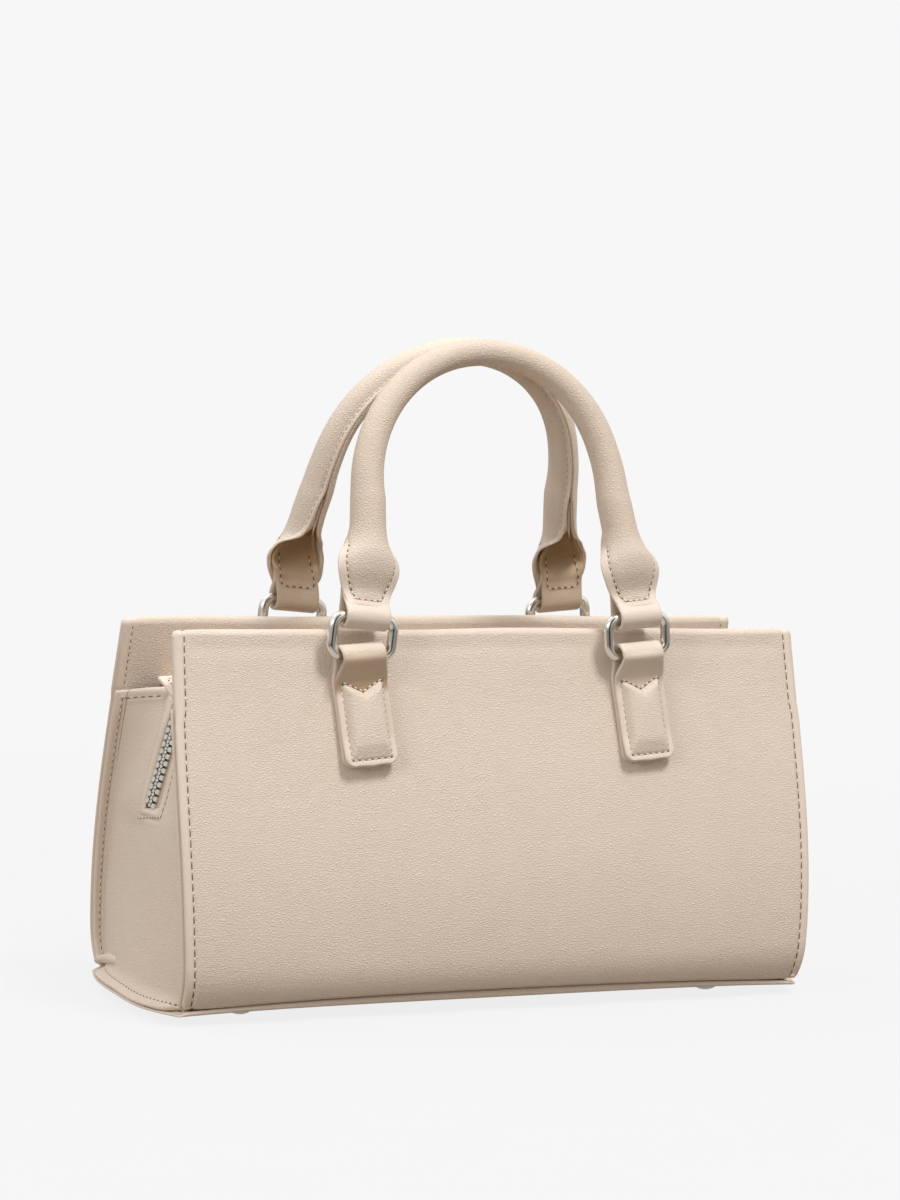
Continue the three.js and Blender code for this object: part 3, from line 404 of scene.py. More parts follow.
def plate(outline, thickness, bevel, holes=()):
    """Flat plate with rounded edges, lying on z = 0 as its middle plane."""
    curve = bpy.data.curves.new("plate", "CURVE")
    curve.dimensions = "2D"
    curve.fill_mode = "BOTH"
    curve.extrude = (thickness / 2 - bevel) * MM
    curve.bevel_depth = bevel * MM
    curve.bevel_resolution = 2
    curve.offset = -bevel * MM
    for ring in (outline, *holes):
        spline = curve.splines.new("POLY")
        spline.points.add(len(ring) - 1)
        for point, (x, y) in zip(spline.points, ring):
            point.co = (x * MM, y * MM, 0, 1)
        spline.use_cyclic_u = True
    holder = add_object("plate", curve)
    mesh = evaluated_mesh(holder)
    points = np.array([v.co for v in mesh.vertices]) / MM
    keys = {}
    merged = [keys.setdefault(tuple(np.round(p, 4)), len(keys)) for p in points]
    faces = [[merged[v] for v in p.vertices] for p in mesh.polygons]
    faces = [f for f in faces if len(set(f)) == len(f)]
    bpy.data.objects.remove(holder)
    bpy.data.curves.remove(curve)
    bpy.data.meshes.remove(mesh)
    return np.array(list(keys)), faces, None, None


def rounded(corners, radius, count=5):
    """Outline with its corners rounded."""
    corners = [np.asarray(c, float) for c in corners]
    points = []
    for k, corner in enumerate(corners):
        before = unit(corners[k - 1] - corner)
        after = unit(corners[(k + 1) % len(corners)] - corner)
        start, end = corner + before * radius, corner + after * radius
        for t in np.linspace(0, 1, count):
            points.append((1 - t) ** 2 * start + 2 * t * (1 - t) * corner + t ** 2 * end)
    return points


def rounded_box(x0, x1, half, radius, count=5):
    return rounded([(x0, -half), (x1, -half), (x1, half), (x0, half)], radius, count)


def volume(points, faces):
    """Six times the volume inside closed faces, below zero if they are inside out."""
    total = 0.0
    for face in faces:
        p = points[np.asarray(face)]
        total += np.einsum("ij,ij->", np.cross(p[1:-1] - p[0], p[2:] - p[0]),
                           np.broadcast_to(p[0], (len(p) - 2, 3)))
    return total


def place(part, matrix):
    points, faces, press, uv = part
    return moved(points, matrix), faces, press, uv


def make_piece(name, parts, material, body, nodes=(), flat_angle=None):
    """One mesh from closed parts, turned outwards, riding on a body of the frame."""
    points, faces, press, uv = [], [], [], []
    start = 0
    for part_points, part_faces, part_press, part_uv in parts:
        part_faces = [list(map(int, f)) for f in part_faces]
        if volume(part_points, part_faces) < 0:
            part_faces = [f[::-1] for f in part_faces]
        points.append(part_points)
        faces += [[v + start for v in f] for f in part_faces]
        press.append(np.zeros(len(part_points)) if part_press is None else part_press)
        uv.append(np.zeros((len(part_points), 2)) if part_uv is None else part_uv)
        start += len(part_points)
    points = np.concatenate(points)
    mesh = bpy.data.meshes.new(name)
    mesh.from_pydata((points * MM).tolist(), [], faces)
    smoothed(mesh, flat_angle)
    pressed = mesh.attributes.new("press", "FLOAT", "POINT")
    pressed.data.foreach_set("value", np.concatenate(press).astype(np.float32))
    layer = mesh.uv_layers.new(name="cloth")
    vertex = np.zeros(len(mesh.loops), int)
    mesh.loops.foreach_get("vertex_index", vertex)
    layer.data.foreach_set("uv", (np.concatenate(uv)[vertex] * MM).astype(np.float32).ravel())
    mesh.update()
    mesh.materials.append(finish(material))
    piece = add_object(name, mesh)
    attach(piece, body)
    if nodes:
        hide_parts(*nodes)
    return piece


def normal_of(face, a, b, step=2e-3):
    across = face(a + step, b) - face(a - step, b)
    up = face(a, b + step) - face(a, b - step)
    return unit(np.cross(across, up))


def grid(face, a, b):
    return face(*np.meshgrid(a, b, indexing="ij"))


def sew(body, points, normals, pitch, closed=False):
    """Keeps a line of stitches for the stitching operator."""
    points = np.asarray(points, float)
    stitch_lines.setdefault(body, []).append((points, unit(np.asarray(normals, float)), pitch, closed))


def sew_on(body, face, a, b, pitch, matrix, outward=1.0):
    """Line of stitches along a path on a face."""
    a, b = matched(a, b)
    sew(body, moved(face(a, b), matrix), turned_by(normal_of(face, a, b) * outward, matrix), pitch)


def seam_relief(inside, groove, puff, reach=5.0):
    """Height of leather beside a stitch line: a groove on the line and a soft swell behind it."""
    swell = puff * (1 - np.exp(-np.clip(inside, 0, None) / reach))
    return swell - groove * bell(inside, 0, 0.62)


def graded(edges, middle_count, span, low=-1.0, high=1.0):
    """Grid lines from low to high, close together at the given distances from both ends."""
    edges = np.asarray(edges, float) / span * (high - low)
    return np.concatenate([low + edges, np.linspace(low + edges[-1], high - edges[-1], middle_count + 2)[1:-1],
                           (high - edges)[::-1]])


# Materials

NUMBER, VECTOR = "NodeSocketFloat", "NodeSocketVector"
GEOMETRY, MATERIAL = "NodeSocketGeometry", "NodeSocketMaterial"


def feed(tree, made, inputs):
    """Links or sets inputs of a node."""
    for key, value in inputs.items():
        if isinstance(value, bpy.types.NodeSocket):
            tree.links.new(value, made.inputs[key])
        else:
            made.inputs[key].default_value = value
    return made


def tree_node(tree, kind, inputs=None, **settings):
    made = tree.nodes.new(kind)
    for key, value in settings.items():
        setattr(made, key, value)
    return feed(tree, made, inputs or {})


def maths(tree, operation, *values):
    return tree_node(tree, "ShaderNodeMath", dict(enumerate(values)), operation=operation).outputs[0]


def times(tree, a, b):
    return maths(tree, "MULTIPLY", a, b)


def ranged(tree, value, low, high, to_low=0.0, to_high=1.0, smooth=True):
    kind = "SMOOTHSTEP" if smooth else "LINEAR"
    inputs = {"Value": value, "From Min": low, "From Max": high, "To Min": to_low, "To Max": to_high}
    return tree_node(tree, "ShaderNodeMapRange", inputs, interpolation_type=kind).outputs["Result"]


def mixed(tree, factor, a, b):
    return tree_node(tree, "ShaderNodeMix", {0: factor, 6: a, 7: b}, data_type="RGBA").outputs[2]


def noise_at(tree, vector, scale, detail, output="Fac"):
    inputs = {"Vector": vector, "Scale": scale, "Detail": detail}
    return tree_node(tree, "ShaderNodeTexNoise", inputs).outputs[output]


def new_group(name, inputs, outputs, kind="ShaderNodeTree"):
    tree = bpy.data.node_groups.new(name, kind)
    for label, socket_type, default in inputs:
        socket = tree.interface.new_socket(label, in_out="INPUT", socket_type=socket_type)
        if default is not None:
            socket.default_value = default
    for label, socket_type in outputs:
        tree.interface.new_socket(label, in_out="OUTPUT", socket_type=socket_type)
    return tree, tree.nodes.new("NodeGroupInput").outputs, tree.nodes.new("NodeGroupOutput")


def use_group(tree, name, inputs):
    return tree_node(tree, "ShaderNodeGroup", inputs, node_tree=bpy.data.node_groups[name]).outputs


def scaled(tree, vector, scale):
    inputs = {0: vector, "Scale": scale}
    return tree_node(tree, "ShaderNodeVectorMath", inputs, operation="SCALE").outputs[0]


def pebble_grain_group():
    """Pebbled leather grain: height, creases between the pebbles and a slow change of tone."""
    tree, given, result = new_group(
        "Pebble grain",
        [("Vector", VECTOR, None), ("Cell Size", NUMBER, 1.1), ("Press", NUMBER, 0.0)],
        [("Height", NUMBER), ("Crease", NUMBER), ("Tone", NUMBER), ("Shine", NUMBER)])
    even = scaled(tree, given["Vector"], maths(tree, "DIVIDE", 1000.0, given["Cell Size"]))
    cells = tree_node(tree, "ShaderNodeMapping", {"Vector": even, "Scale": (0.85, 0.85, 1.35)}).outputs[0]
    warp = noise_at(tree, cells, 0.7, 2.0, "Color")
    pushed = tree_node(tree, "ShaderNodeVectorMath", {0: warp, 1: (0.5, 0.5, 0.5)}, operation="SUBTRACT").outputs[0]
    warped = {0: cells, 1: scaled(tree, pushed, 0.7)}
    bent = tree_node(tree, "ShaderNodeVectorMath", warped, operation="ADD").outputs[0]
    edge = tree_node(tree, "ShaderNodeTexVoronoi", {"Vector": bent, "Scale": 1.0},
                     feature="DISTANCE_TO_EDGE").outputs["Distance"]
    domes = ranged(tree, edge, 0.0, 0.42)
    fine = noise_at(tree, cells, 3.1, 3.0)
    broad = noise_at(tree, cells, 0.16, 3.0)
    slow = noise_at(tree, cells, 0.028, 2.0)
    raised = maths(tree, "ADD", times(tree, domes, maths(tree, "ADD", 0.45, broad)), times(tree, fine, 0.16))
    left = maths(tree, "SUBTRACT", 1.0, times(tree, given["Press"], 0.7))
    crease = times(tree, maths(tree, "SUBTRACT", 1.0, domes), left)
    feed(tree, result, {"Height": times(tree, raised, left), "Crease": crease,
                        "Tone": ranged(tree, slow, 0.3, 0.7, smooth=False),
                        "Shine": maths(tree, "ADD", times(tree, broad, 0.5), times(tree, crease, 0.5))})


def weave_group():
    """Plain weave: height of the threads and the gaps between them, from a map in metres."""
    tree, given, result = new_group(
        "Plain weave", [("Vector", VECTOR, None), ("Thread", NUMBER, 0.5)],
        [("Height", NUMBER), ("Gap", NUMBER), ("Tone", NUMBER)])
    threads = scaled(tree, given["Vector"], maths(tree, "DIVIDE", 1000.0 * math.pi, given["Thread"]))
    parts = tree_node(tree, "ShaderNodeSeparateXYZ", {0: threads}).outputs
    warp, weft = maths(tree, "SINE", parts[0]), maths(tree, "SINE", parts[1])
    height = maths(tree, "MULTIPLY_ADD", times(tree, warp, weft), 0.5, 0.5)
    round_ = maths(tree, "MINIMUM", maths(tree, "ABSOLUTE", warp), maths(tree, "ABSOLUTE", weft))
    noise = noise_at(tree, threads, 0.35, 2.0)
    feed(tree, result, {"Height": maths(tree, "ADD", times(tree, height, 0.7), times(tree, noise, 0.3)),
                        "Gap": ranged(tree, round_, 0.0, 0.3, 1.0, 0.0), "Tone": noise})


def handling_group():
    """Marks of handling: soft smudges and fine scuffs."""
    tree, given, result = new_group(
        "Handling marks", [("Vector", VECTOR, None), ("Size", NUMBER, 8.0)],
        [("Smudge", NUMBER), ("Scuff", NUMBER)])
    spread = scaled(tree, given["Vector"], maths(tree, "DIVIDE", 1000.0, given["Size"]))
    drawn_out = tree_node(tree, "ShaderNodeMapping", {"Vector": spread, "Rotation": (0.4, 0.2, 0.7),
                                                      "Scale": (1.0, 14.0, 5.0)}).outputs[0]
    feed(tree, result, {"Smudge": ranged(tree, noise_at(tree, spread, 1.0, 4.0), 0.35, 0.7),
                        "Scuff": ranged(tree, noise_at(tree, drawn_out, 1.6, 3.0), 0.5, 0.75)})


def cleared_tree(owner):
    owner.use_nodes = True
    owner.node_tree.nodes.clear()
    return owner.node_tree


def new_material(name, settings):
    tree = cleared_tree(bpy.data.materials.new(name))
    shader = tree_node(tree, "ShaderNodeBsdfPrincipled", settings)
    tree_node(tree, "ShaderNodeOutputMaterial", {"Surface": shader.outputs[0]})
    return tree, shader


def own_vector(tree):
    return tree_node(tree, "ShaderNodeTexCoord").outputs["Object"]


def bumped(tree, shader, height, strength, distance):
    inputs = {"Height": height, "Strength": strength, "Distance": distance}
    feed(tree, shader, {"Normal": tree_node(tree, "ShaderNodeBump", inputs).outputs[0]})


def cloth_map(tree):
    """Map in metres that a piece carries, and its second value."""
    layer = tree_node(tree, "ShaderNodeUVMap", uv_map="cloth").outputs[0]
    return layer, tree_node(tree, "ShaderNodeSeparateXYZ", {0: layer}).outputs["Y"]


def shade(colour, factor):
    return (colour[0] * factor, colour[1] * factor, colour[2] * factor, 1.0)


def leather_material(name, colour, crease_colour, cell, strength, rough):
    tree, shader = new_material(name, {"Specular IOR Level": 0.3, "Sheen Weight": 0.05, "Sheen Roughness": 0.5})
    vector = own_vector(tree)
    press = tree_node(tree, "ShaderNodeAttribute", attribute_name="press").outputs["Fac"]
    grain = use_group(tree, "Pebble grain", {"Vector": vector, "Cell Size": cell, "Press": press})
    marks = use_group(tree, "Handling marks", {"Vector": vector, "Size": 26.0})
    toned = mixed(tree, grain["Tone"], shade(colour, 0.985), shade(colour, 1.015))
    wear_and_shade = mixed(tree, times(tree, marks["Smudge"], 0.1), toned, shade(colour, 0.93))
    lined = mixed(tree, times(tree, grain["Crease"], 0.2), wear_and_shade, (*crease_colour, 1.0))
    # The cloth map's second value is painted shade: it mixes the leather's colour towards the dark shade colour
    deep = cloth_map(tree)[1]
    feed(tree, shader, {"Base Color": mixed(tree, times(tree, deep, 0.95), lined, PAINTED_SHADE_COLOUR),
                        "Roughness": ranged(tree, grain["Shine"], 0.15, 0.8, rough - 0.05, rough + 0.13)})
    bumped(tree, shader, grain["Height"], strength, 0.0003)


def metal_material(name, colour, rough):
    tree, shader = new_material(name, {"Metallic": 1.0})
    marks = use_group(tree, "Handling marks", {"Vector": own_vector(tree), "Size": 14.0})
    tone = mixed(tree, times(tree, marks["Smudge"], 0.35), shade(colour, 1.0), shade(colour, 0.93))
    roughness = maths(tree, "ADD", ranged(tree, marks["Smudge"], 0.0, 1.0, rough, rough + 0.08),
                      times(tree, marks["Scuff"], 0.06))
    feed(tree, shader, {"Base Color": tone, "Roughness": roughness})
    bumped(tree, shader, marks["Scuff"], 0.02, 0.00005)


def cloth_material(name, colour, gap_colour, thread, rough, edge_shade=0.0):
    tree, shader = new_material(name, {"Specular IOR Level": 0.25, "Sheen Weight": 0.25})
    layer, across = cloth_map(tree)
    weave = use_group(tree, "Plain weave", {"Vector": layer, "Thread": thread})
    toned = mixed(tree, weave["Tone"], shade(colour, 0.93), shade(colour, 1.06))
    woven = mixed(tree, times(tree, weave["Gap"], 0.55), toned, (*gap_colour, 1.0))
    # Painted shadow on the tape's corded edge, where it lies between the teeth; edge_shade sets how dark
    edge = ranged(tree, across, -3.6 * MM, -2.6 * MM, 0.0, edge_shade)
    feed(tree, shader, {"Base Color": mixed(tree, edge, woven, shade(colour, 0.08)),
                        "Roughness": ranged(tree, weave["Tone"], 0.0, 1.0, rough - 0.06, rough + 0.06)})
    bumped(tree, shader, weave["Height"], 0.5, 0.0002)


def fibre_material(name, colour, deep_colour, size, rough, stretch):
    """Rough material with a fibrous or porous grain: thread, cord, board and foam."""
    tree, shader = new_material(name, {"Specular IOR Level": 0.25})
    mapping = tree_node(tree, "ShaderNodeMapping", {"Vector": own_vector(tree), "Scale": stretch})
    fibre = noise_at(tree, mapping.outputs[0], 1000.0 / size, 4.0)
    mask = ranged(tree, fibre, 0.35, 0.65)
    feed(tree, shader, {"Base Color": mixed(tree, mask, (*deep_colour, 1.0), (*colour, 1.0)),
                        "Roughness": ranged(tree, fibre, 0.2, 0.8, rough - 0.08, rough + 0.08)})
    bumped(tree, shader, fibre, 0.35, 0.0002)


def make_materials(scene):
    """Node groups and finishes that the pieces share."""
    pebble_grain_group()
    weave_group()
    handling_group()
    leather, metal, zip_ = scene.tote_leather, scene.tote_metal, scene.tote_zip
    colour, crease = leather.colour, leather.crease_colour
    tape, lining, thread = zip_.tape_colour, leather.lining_colour, leather.thread_colour
    even = (1.0, 1.0, 1.0)
    leather_material("Grained leather", colour, crease, leather.grain_size / MM, leather.grain_strength, 0.5)
    leather_material("Strap leather", colour, crease, leather.grain_size * 0.85 / MM,
                     leather.grain_strength * 0.6, 0.46)
    metal_material("Polished nickel", metal.colour, metal.roughness)
    metal_material("Zip metal", shade(metal.colour, 0.92), metal.roughness + 0.1)
    cloth_material("Zip tape", tape, shade(tape, 0.45)[:3], 0.55, 0.75, edge_shade=0.9)
    cloth_material("Lining cloth", lining, shade(lining, 0.5)[:3], 0.7, 0.7)
    fibre_material("Thread", thread, shade(thread, 0.75)[:3], 0.4, 0.62, even)
    # Needle holes: dark beads that stand partly for the holes and partly for painted shade in them
    fibre_material("Needle hole", (0.22, 0.15, 0.1), (0.13, 0.085, 0.055), 0.5, 0.8, even)
    fibre_material("Fibre board", (0.42, 0.34, 0.24), (0.3, 0.23, 0.16), 1.2, 0.82, (1.0, 3.0, 1.0))
    fibre_material("Foam", (0.82, 0.8, 0.74), (0.68, 0.65, 0.58), 0.6, 0.9, even)
    fibre_material("Cotton cord", (0.8, 0.76, 0.68), (0.62, 0.57, 0.49), 0.5, 0.85, (1.0, 1.0, 3.0))


def finish(name):
    return bpy.data.materials[name]


# Sizes and colours that a user would change

class ToteLeather(bpy.types.PropertyGroup):
    """Leather of the bag"""
    colour: FloatVectorProperty(
        name="Leather colour", description="Main colour of the leather", subtype="COLOR",
        default=(0.745, 0.635, 0.535), min=0, max=1)
    crease_colour: FloatVectorProperty(
        name="Crease colour", description="Colour in the creases of the grain", subtype="COLOR",
        default=(0.5, 0.38, 0.27), min=0, max=1)
    lining_colour: FloatVectorProperty(
        name="Lining colour", description="Colour of the cloth inside", subtype="COLOR",
        default=(0.55, 0.44, 0.33), min=0, max=1)
    thread_colour: FloatVectorProperty(
        name="Thread colour", description="Colour of the sewing thread", subtype="COLOR",
        default=(0.84, 0.72, 0.6), min=0, max=1)
    grain_size: FloatProperty(
        name="Grain size", description="Width of one pebble of the grain", unit="LENGTH", default=0.00105,
        min=0.0003, max=0.01)
    grain_strength: FloatProperty(
        name="Grain strength", description="Depth of the grain", subtype="FACTOR", default=0.5, min=0, max=1)
    edge: FloatProperty(
        name="Sewn edge", description="From a panel's edge to its stitches", unit="LENGTH", default=0.0034,
        min=0.002, max=0.008)
    groove: FloatProperty(
        name="Stitch groove", description="Depth that the stitches pull into a panel", unit="LENGTH",
        default=0.0005, min=0, max=0.002)
    puff: FloatProperty(
        name="Swell", description="How far a panel swells inside its stitches", unit="LENGTH", default=0.0006,
        min=0, max=0.003)
    stitch: FloatProperty(
        name="Body stitch", description="From one stitch to the next on the panels", unit="LENGTH",
        default=0.0038, min=0.001, max=0.01)
    strap_stitch: FloatProperty(
        name="Strap stitch", description="From one stitch to the next on tabs and handles", unit="LENGTH",
        default=0.0024, min=0.001, max=0.01)
    thread: FloatProperty(
        name="Thread", description="Thickness of the sewing thread", unit="LENGTH", default=0.0007,
        min=0.0002, max=0.002)


class ToteHandle(bpy.types.PropertyGroup):
    """Handles of the bag"""
    leg: FloatProperty(
        name="Leg thickness", description="Thickness of the rolled handle in its legs", unit="LENGTH",
        default=0.0128, min=0.008, max=0.014)
    crown: FloatProperty(
        name="Crown thickness", description="Thickness of the rolled handle at the top", unit="LENGTH",
        default=0.0098, min=0.008, max=0.014)
    flare: FloatProperty(
        name="Flare", description="Extra half width of the opened ends", unit="LENGTH", default=0.0056,
        min=0.002, max=0.006)


class ToteMetal(bpy.types.PropertyGroup):
    """Metal parts"""
    colour: FloatVectorProperty(
        name="Metal colour", description="Colour of rings, feet and zip", subtype="COLOR",
        default=(0.815, 0.79, 0.735), min=0, max=1)
    roughness: FloatProperty(
        name="Metal roughness", description="How dull the metal is", subtype="FACTOR", default=0.12, min=0, max=1)


class ToteZip(bpy.types.PropertyGroup):
    """Zip"""
    tape_colour: FloatVectorProperty(
        name="Tape colour", description="Colour of the zip's tape", subtype="COLOR",
        default=(0.66, 0.55, 0.43), min=0, max=1)
    tooth: FloatProperty(
        name="Tooth head", description="Width of a tooth's head", unit="LENGTH", default=0.00135,
        min=0.0005, max=0.002)


class ToteStage(bpy.types.PropertyGroup):
    """Studio and camera"""
    background: FloatVectorProperty(
        name="Background", description="Colour of floor and background", subtype="COLOR",
        default=(0.93, 0.93, 0.93), min=0, max=1)
    azimuth: FloatProperty(
        name="Azimuth", description="Camera's turn round the bag", subtype="ANGLE", default=math.radians(-26))
    elevation: FloatProperty(
        name="Elevation", description="Camera's height angle", subtype="ANGLE", default=math.radians(4.91))
    roll: FloatProperty(
        name="Roll", description="Camera's roll", subtype="ANGLE", default=math.radians(2.52))
    distance: FloatProperty(
        name="Distance", description="Camera to the point that it looks at", unit="LENGTH", default=1.3267)
    lens: FloatProperty(
        name="Lens", description="Focal length in millimetres", unit="CAMERA", default=108.516, min=10)


# Pieces

def panel_faces(leather, phase, shift, tuck):
    """Outer and inner face of the front panel, over a (-1 to 1 across) and b (0 to 1 up)."""
    edge_r, fold_r = PANEL_T / 2, (PANEL_T + GAP + FACING_T) / 2
    edge = leather.edge / MM - edge_r
    groove, puff = leather.groove / MM, leather.puff / MM

    def spot(a, b):
        a, b = matched(a, b)
        rough_x = a * WIDE_WIDTH / 2
        low = side_lip(rough_x) + GAP + edge_r
        high = BODY_TOP - fold_r + ripple(rough_x, phase, 0.35, 130)
        z = lerp(low, high, b)
        tucked = tuck * (fold_r - edge_r) * smoothstep(z, 104, FACING_Z)
        reach = half_width(z) - corner_inset(z) - edge_r - tucked
        x = a * reach
        slope = (half_depth(z + 0.1) - half_depth(z - 0.1)) / 0.2
        top = high - z
        sway = ripple(x, phase + 1, 0.45, 170) * np.exp(-np.clip(top, 0, None) / 24)
        point = stack(x, sway - half_depth(z), z)
        normal = unit(stack(0 * x, -np.ones_like(x), -slope))
        return point + [shift, 0, 0], normal, z, reach - np.abs(x), top

    def outer(a, b):
        point, normal, z, inside, top = spot(a, b)
        relief = seam_relief(inside - edge, groove, puff)
        relief = relief - 0.25 * bell(top, 4.5, 2.6) * smoothstep(inside, 2, 8)
        belly = 0.35 * np.sin(np.clip(z / 110, 0, 1) * np.pi) * np.sin(point[..., 0] / 37 + phase)
        return point + normal * (relief + belly * smoothstep(inside, 4, 40))[..., None]

    def inner(a, b):
        point, normal, z, inside, _ = spot(a, b)
        faced = smoothstep(z, 107.6, FACING_Z)
        thick = PANEL_T + (GAP + FACING_T) * faced + 0.6 * faced * seam_relief(inside - edge, groove, puff * 0.5)
        return point - normal * thick[..., None]

    def reach(b):
        return spot(0, b)[3]

    def press(a, b):
        inside = spot(a, b)[3]
        return 1 - smoothstep(inside, edge - 0.7, edge + 1.2)

    return outer, inner, reach, press, edge


class TOTE_OT_panels(bpy.types.Operator):
    """Front and back panels, each with its turned top edge and facing in one wrap of leather"""
    bl_idname = "tote.panels"
    bl_label = "Panels"

    def execute(self, context):
        leather = context.scene.tote_leather
        near = [0, 0.4, 0.8, 1.2, 1.6, 1.9, 2.2, 2.45, 2.7, 2.95, 3.2, 3.5, 3.9, 4.5, 5.3, 6.5, 8, 10, 13, 17, 22]
        low = [0, 0.5, 1, 1.7, 2.6, 3.8, 5.5, 8, 11]
        high = [8, 6.5, 5.4, 4.5, 3.6, 2.8, 2, 1.4, 0.8, 0.4, 0]
        across = graded(near, 58, WIDE_WIDTH - PANEL_T)
        up = np.concatenate([np.array(low) / 128, steps(low[-1] / 128, (0.8, 32), (0.93, 10))[1:],
                             1 - np.array(high) / 128])
        rows, faced = np.linspace(0.012, 0.988, 200), np.linspace(0.83, 0.988, 40)
        for face, turn, phase, shift, tuck, side_shade in (("front", Matrix.Identity(4), 0.6, 0.8, 1.0, 0.8),
                                                           ("back", HALF_TURN, 2.4, 0.0, 0.0, 0.25)):
            outer, inner, reach, press, edge = panel_faces(leather, phase, shift, tuck)
            # Painted shade along the side rims, darker on the front panel than the back, fading out before the top
            # edge
            sides = side_shade * (1 - smoothstep(up, 0.9, 0.96))[None, :]
            part = shell(grid(outer, across, up), grid(inner, across, up), press=grid(press, across, up),
                         edge_shade=sides)
            make_piece(f"{face}_panel_leather", [place(part, turn)], "Grained leather", "body",
                       (f"{face}_panel", f"{face}_facing"))
            for side in (-1, 1):
                sew_on("body", outer, side * (1 - edge / reach(rows)), rows, leather.stitch, turn)
                sew_on("body", inner, side * (1 - edge / reach(faced)), faced, leather.strap_stitch * HIDDEN_STITCH,
                       turn, -1)
        return {"FINISHED"}


C_SLOT, C_WEB, C_TURN = 0.17, 0.76, 0.86
B_SLOT, B_FLANGE, B_SEWN = 0.6, 0.08, 0.03
FLANGE_RISE = 6.5
TURN_R = 1.7
SLOT_LEAN, SLOT_CLOSED = math.radians(14), 4.3
SLOT_SEWN = 2.4


def gusset_faces(closed):
    """Middle and outer face of the right gusset's leather, over c (-1 to 1, fin to fin) and b (0 to 1 up).

    Where the zip is closed the leather folds higher up, hugs the chain and turns it towards +Y.
    """
    lean = math.tan(SLOT_LEAN) if closed else 0.0
    near = SLOT_CLOSED if closed else SLOT_HALF

    def middle(c, b):
        c, b = matched(c, b)
        m, side = np.minimum(np.abs(c), 1.02), np.sign(c)
        web = np.clip((m - C_SLOT) / (C_WEB - C_SLOT), 0, 1)
        share = np.where(m < C_SLOT, 0.25 * m / C_SLOT, 0.25 + 0.75 * web)
        top = GUSSET_EDGE_Z + (GUSSET_TOP_Z - GUSSET_EDGE_Z) * (1 - share ** FOLD_POWER) - GUSSET_T / 2
        low = end_lip(share * BASE_HALF) + 0.05 + GUSSET_T / 2
        low = low - SAG * bell(side * share, *SAG_AT)
        rise = np.clip(b / B_FLANGE, 0, 1)
        foot = low + FLANGE_RISE * rise ** 1.7
        z = np.where(b < B_FLANGE, foot, lerp(low + FLANGE_RISE, SLOT_Z, (b - B_FLANGE) / (B_SLOT - B_FLANGE)))
        z = np.where(b < B_SLOT, z, lerp(SLOT_Z, top, (b - B_SLOT) / (1 - B_SLOT)))
        edge = inside_depth(z) - GUSSET_T / 2
        bend = edge - TURN_R
        slot = np.where(c < 0, near, SLOT_HALF)
        y = np.where(m < C_SLOT, m / C_SLOT * slot, slot + web * (bend - slot))
        if closed:
            z = z + 0.2 * side * y * np.exp(-(y / 13) ** 2 - ((z - SLOT_Z) / 13) ** 2)
        bend_x = gusset_x(bend, z)
        turn = np.clip((m - C_WEB) / (C_TURN - C_WEB), 0, 1) * np.pi / 2
        tip = half_width(z) - corner_inset(z) - GAP - GUSSET_T / 2
        along = np.clip((m - C_TURN) / (1 - C_TURN), 0, 1.2)
        face_x = gusset_x(y, z)
        if closed:
            late = (np.sqrt((z - 67) ** 2 + 9) + z - 67) / 2
            share = 0.257 * late / (FOLD / (GUSSET_TOP_Z - FOLD_START) * np.maximum(z - FOLD_START, 1.0))
            face_x = face_x + (1 - share) * (gusset_x(bend, z) - face_x) * (z > FOLD_START + 1)
        ledge = base_end(y) - 0.1 - face_x
        face_x = face_x + ledge * (1 - rise) ** 2 * (1 - smoothstep(web, 0.86, 1.0))
        face_x = face_x - lean * side * y * bell(y, 0, 15) * smoothstep(z, 60, 76)
        x = np.where(m < C_WEB, face_x, bend_x + TURN_R * (1 - np.cos(turn)))
        x = np.where(m > C_TURN, lerp(bend_x + TURN_R, tip + GUSSET_T / 2, along), x) - GUSSET_T / 2
        y = np.where(m > C_WEB, bend + TURN_R * np.sin(turn), y)
        return stack(x, side * y, z)

    def edges(c, b):
        point = middle(c, b)
        half = np.where(point[..., 1] < 0, near, SLOT_HALF)
        slot = np.maximum(np.abs(point[..., 1]) - half, SLOT_Z - point[..., 2])
        return slot, middle(c, np.ones_like(b))[..., 2] - point[..., 2]

    def outer(c, b):
        c, b = matched(c, b)
        slot, top = edges(c, b)
        turned_in = 0.4 * bell(slot, 0.9, 0.9) - 0.45 * bell(slot, 2.7, 0.6)
        hem = 0.7 * (1 - smoothstep(top, 2.8, 4.6)) - 0.6 * bell(top, SLOT_SEWN, 0.7)
        foot = -0.4 * bell(b, B_SEWN, 0.007)
        relief = np.where(slot < top, turned_in, hem) + foot
        relief = np.where(np.abs(c) < C_WEB, relief, 0.0)
        return middle(c, b) + normal_of(middle, c, b) * (GUSSET_T / 2 + relief)[..., None]

    return middle, outer, edges


